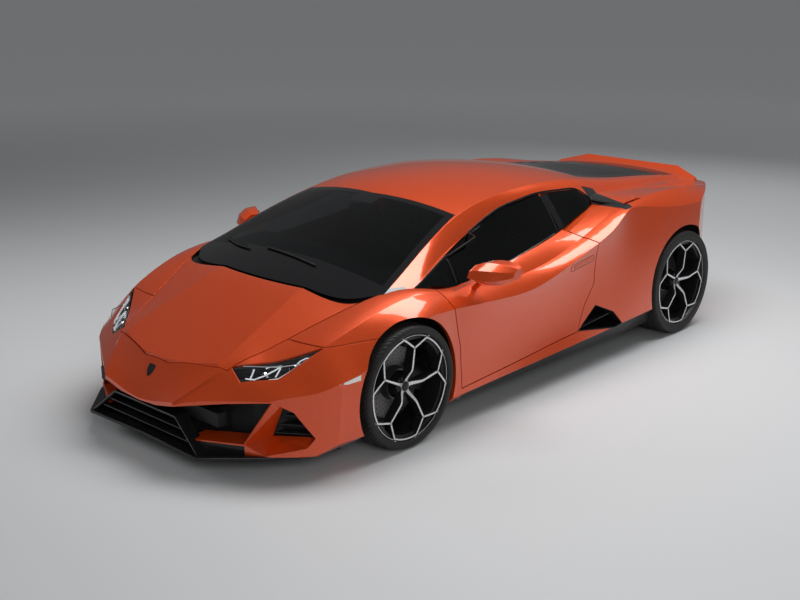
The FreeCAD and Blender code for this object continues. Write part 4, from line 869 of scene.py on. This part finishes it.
# Tail: forked red bars, meshes and exhaust rims.
bars = []
for points in ([(0.395, 0.768), (0.455, 0.768), (0.495, 0.792)], [(0.455, 0.768), (0.495, 0.744)],
               [(0.515, 0.768), (0.575, 0.768), (0.615, 0.790)], [(0.575, 0.768), (0.615, 0.746)]):
    bar = laid(straight([(x, 2.1425, z) for x, z in points], 12), FORWARD, ["tail_lamps"], 0.0)
    bars.append(sweep(bar, flat_bar(0.010, 0.003), (0, 1, 0)))
pair("tail_light_bars", bars, [RED_LIGHT], "chassis")
MESH_CELL, MESH_BAR, MESH_PLACE, MESH_DEPTH = 0.015, 0.0028, upright(2.116), (0, -0.008, 0)
tail_meshes = [honeycomb(outline, MESH_CELL, MESH_BAR, MESH_PLACE, MESH_DEPTH) for outline in (
    [(-0.63, 0.615), (-0.62, 0.722), (0.62, 0.722), (0.63, 0.615)],
    [(-0.45, 0.565), (-0.42, 0.43), (-0.19, 0.385), (0.19, 0.385), (0.42, 0.43), (0.45, 0.565)])]
piece("tail_mesh", tail_meshes, [GRAIN], "chassis")
tip = turned(mm((-60, 47), (-6, 47.5), (0, 49), (3, 52), (0, 55.5), (-6, 56), (-60, 53.5)),
             (0.120, 2.236, 0.490), 64, 1)
pair("exhaust_rim", [tip], [CHROME], "chassis")

# Inside: padded seats, screens on the dash, and the mirror on the windshield.
SEAT_X = 0.365
BACK_TILT = -0.36


def seat(side):
    """Cushion, back and head pads with side bolsters, in the space of the plain seat."""
    pads = [swollen((SEAT_X, -0.395, 0.335), (0.165, 0.215, 0.048), 0.42, 0.10),
            swollen((SEAT_X, 0.000, 0.610), (0.160, 0.060, 0.235), 0.42, BACK_TILT),
            swollen((SEAT_X, 0.122, 0.848), (0.120, 0.042, 0.062), 0.5, -0.30)]
    for sign in (-1, 1):
        pads.append(swollen((SEAT_X + sign * 0.192, -0.385, 0.352), (0.046, 0.205, 0.062), 0.5, 0.08))
        pads.append(swollen((SEAT_X + sign * 0.190, -0.012, 0.600), (0.046, 0.078, 0.215), 0.5, BACK_TILT))
        pads.append(swollen((SEAT_X + sign * 0.150, 0.058, 0.765), (0.026, 0.036, 0.050), 0.5, BACK_TILT,
                            finish=1))
    for z, y in ((0.50, -0.105), (0.56, -0.082), (0.62, -0.060), (0.68, -0.037)):
        pads.append(swollen((SEAT_X, y, z), (0.128, 0.012, 0.024), 0.5, BACK_TILT))
    back = [(-0.20, 0.02, 0.27), (0.20, 0.02, 0.27), (0.17, 0.155, 0.80), (0.09, 0.172, 0.87),
            (-0.09, 0.172, 0.87), (-0.17, 0.155, 0.80)]
    base = [(-0.22, -0.60, 0.235), (0.22, -0.60, 0.235), (0.22, -0.06, 0.235), (-0.22, -0.06, 0.235)]
    shells = pads + [slab(np.array(back) + (SEAT_X, 0, 0), (0, 0.018, -0.004), 2),
                     slab(np.array(base) + (SEAT_X, 0, 0), (0, 0, 0.06), 2)]
    if side == "right":
        shells = mirrored(shells)
    made = piece("seat_pads_" + side, shells, [HIDE, ORANGE_HIDE, GRAIN], "chassis", 40.0,
                 ["seat_" + side])


seat("left")
seat("right")
hood_line = mm((205, -880, 800), (230, -885, 845), (300, -890, 868), (365, -890, 874), (430, -890, 868),
               (500, -885, 845), (525, -880, 800))
hood_section = mm((-55, -10), (50, -14), (75, 0), (50, 4), (-55, 8))
piece("instrument_hood", [sweep(hood_line, hood_section, FORWARD)], [FINISH["dash"]], "chassis")
instruments = slab(mm((270, -846, 792), (460, -846, 792), (460, -866, 852), (270, -866, 852)),
                   (0, -0.008, -0.003))
middle_screen = slab(mm((-85, -768, 620), (85, -768, 620), (85, -752, 745), (-85, -752, 745)),
                     (0, -0.012, 0.0))
piece("dash_screens", [instruments, middle_screen], [gloss_black("screen_black")], "chassis")
stitch = laid(straight([(-0.70, -0.800, 0.9), (0.18, -0.800, 0.9)], 40), DOWN, ["dash"], 0.0)
piece("dash_seam", [sweep(stitch, round_bar(0.0022, 6), UP)], [ORANGE_HIDE], "chassis")
mirror_head = swollen((0.0, -0.645, 1.010), (0.115, 0.016, 0.032), 0.4, 0.0)
mirror_stem = sweep(np.array([(0.0, -0.655, 1.03), (0.0, -0.668, 1.068)]), round_bar(0.010), FORWARD)
piece("inside_mirror", [mirror_head, mirror_stem], [GRAIN], "chassis")
wheel_pad = swollen((0.365, -0.566, 0.692), (0.062, 0.020, 0.045), 0.55, -0.38)
piece("steering_pad", [wheel_pad], [FINISH["trim"]], "steering_wheel")
mirror_glass = laid(straight([(0.985, -0.60, 0.829), (1.085, -0.585, 0.829)], 8), FORWARD, ["mirror_left"],
                    0.0006)
pair("mirror_glass", [sweep(mirror_glass, flat_bar(0.052, 0.002, 0.4), (0, 1, 0))], [CHROME], "door_{side}")


def camera():
    """The photograph's camera: azimuth, height and roll, with the lens of its own frame."""
    azimuth, elevation, roll = math.radians(43.57), math.radians(16.52), math.radians(-0.26)
    back = Vector((math.sin(azimuth) * math.cos(elevation), -math.cos(azimuth) * math.cos(elevation),
                   math.sin(elevation)))
    right = Vector((math.cos(azimuth), math.sin(azimuth), 0.0))
    up = back.cross(right)
    turned_right = right * math.cos(roll) + up * math.sin(roll)
    turned_up = up * math.cos(roll) - right * math.sin(roll)
    data = bpy.data.cameras.new("photo_camera")
    data.lens = 52.76
    data.sensor_width = 36.0
    data.sensor_fit = "HORIZONTAL"
    data.shift_x = 0.0041
    data.clip_end = 900.0
    eye = bpy.data.objects.new("photo_camera", data)
    basis = Matrix((turned_right, turned_up, back)).transposed().to_4x4()
    eye.matrix_world = Matrix.Translation((4.726, -5.345, 2.441)) @ basis
    bpy.context.scene.collection.objects.link(eye)
    bpy.context.scene.camera = eye


# Light. Each lamp: name, place, target, width and depth, power in watts, and whether the paint mirrors it.
LAMPS = (
    ("overhead", (0.85, 0.9, 4.8), (0.6, 0.6, 0), 2.3, 5.2, 250, True),
    ("front_left", (5.5, -4.5, 3.2), (0, -0.6, 0.5), 3.0, 2.0, 85, False),
    ("front_right", (-5.0, -4.5, 3.0), (0, -0.8, 0.5), 3.0, 2.0, 75, False),
    ("side", (6.5, 2.5, 3.0), (0, 0.8, 0.5), 4.0, 2.0, 20, False),
    ("behind", (-1.5, 6.5, 3.4), (0, 1.2, 0.5), 4.0, 2.0, 60, False),
)
WORLD_LIGHT, WORLD_SEEN = 0.11, 0.18
HALF_FLOOR = 400.0
# The centre of the floor's painted pool of light.
LIGHT_POOL_CENTRE = (0.5, -3.0)


def softbox(name, place, target, width, depth, power, mirrored_in_paint):
    """A rectangular lamp that looks at a target."""
    data = bpy.data.lights.new(name, "AREA")
    data.shape = "RECTANGLE"
    data.size = width
    data.size_y = depth
    data.energy = power
    lamp = bpy.data.objects.new(name, data)
    lamp.location = place
    lamp.visible_glossy = mirrored_in_paint
    lamp.rotation_euler = (Vector(target) - Vector(place)).to_track_quat("-Z", "Y").to_euler()
    bpy.context.scene.collection.objects.link(lamp)


def sky():
    """An even grey world, a little brighter where the camera sees it than as a light."""
    world = bpy.data.worlds.new("studio")
    bpy.context.scene.world = world
    world.use_nodes = True
    tree = world.node_tree
    path = tree.nodes.new("ShaderNodeLightPath")
    strength = tree.nodes.new("ShaderNodeMapRange")
    tree.links.new(path.outputs["Is Camera Ray"], strength.inputs["Value"])
    strength.inputs["To Min"].default_value = WORLD_LIGHT
    strength.inputs["To Max"].default_value = WORLD_SEEN
    tree.links.new(strength.outputs[0], tree.nodes["Background"].inputs["Strength"])
    tree.nodes["Background"].inputs["Color"].default_value = rgb(0.97, 0.98, 1.0)


def studio_floor():
    """A pale floor, a painted pool of light that darkens with the distance from a point before the nose, then
    turns to the backdrop.
    """
    kit = Kit("floor_with_painted_light")
    x, y, z = kit.axes()
    across, along = x - LIGHT_POOL_CENTRE[0], y - LIGHT_POOL_CENTRE[1]
    reach = (across * across + along * along).math("SQRT")

    def fade(start, end):
        return kit.node("ShaderNodeMapRange", {"interpolation_type": "SMOOTHSTEP"}, 0, reach, start, end,
                        0.0, 1.0)

    far = fade(6.0, 17.0)
    # Painted pool of light: the floor's colour darkens with the distance from the centre.
    light_pool_colour = kit.blend(fade(1.5, 11.0), rgb(0.66, 0.67, 0.68), rgb(0.50, 0.51, 0.52))
    kit.set(Base_Color=kit.blend(far, light_pool_colour, rgb(0.85, 0.86, 0.87)), Roughness=0.6,
            Emission_Color=kit.blend(far, rgb(0, 0, 0), rgb(0.06, 0.06, 0.06)), Emission_Strength=1.0)
    mesh = bpy.data.meshes.new("floor")
    corners = np.array([(-1, -1, 0), (1, -1, 0), (1, 1, 0), (-1, 1, 0)]) * HALF_FLOOR
    mesh.from_pydata(corners.tolist(), [], [(0, 1, 2, 3)])
    floor = bpy.data.objects.new("floor", mesh)
    mesh.materials.append(kit.material)
    bpy.context.scene.collection.objects.link(floor)


camera()
sky()
studio_floor()
for lamp in LAMPS:
    softbox(*lamp)
bpy.context.scene.view_settings.view_transform = "Standard"
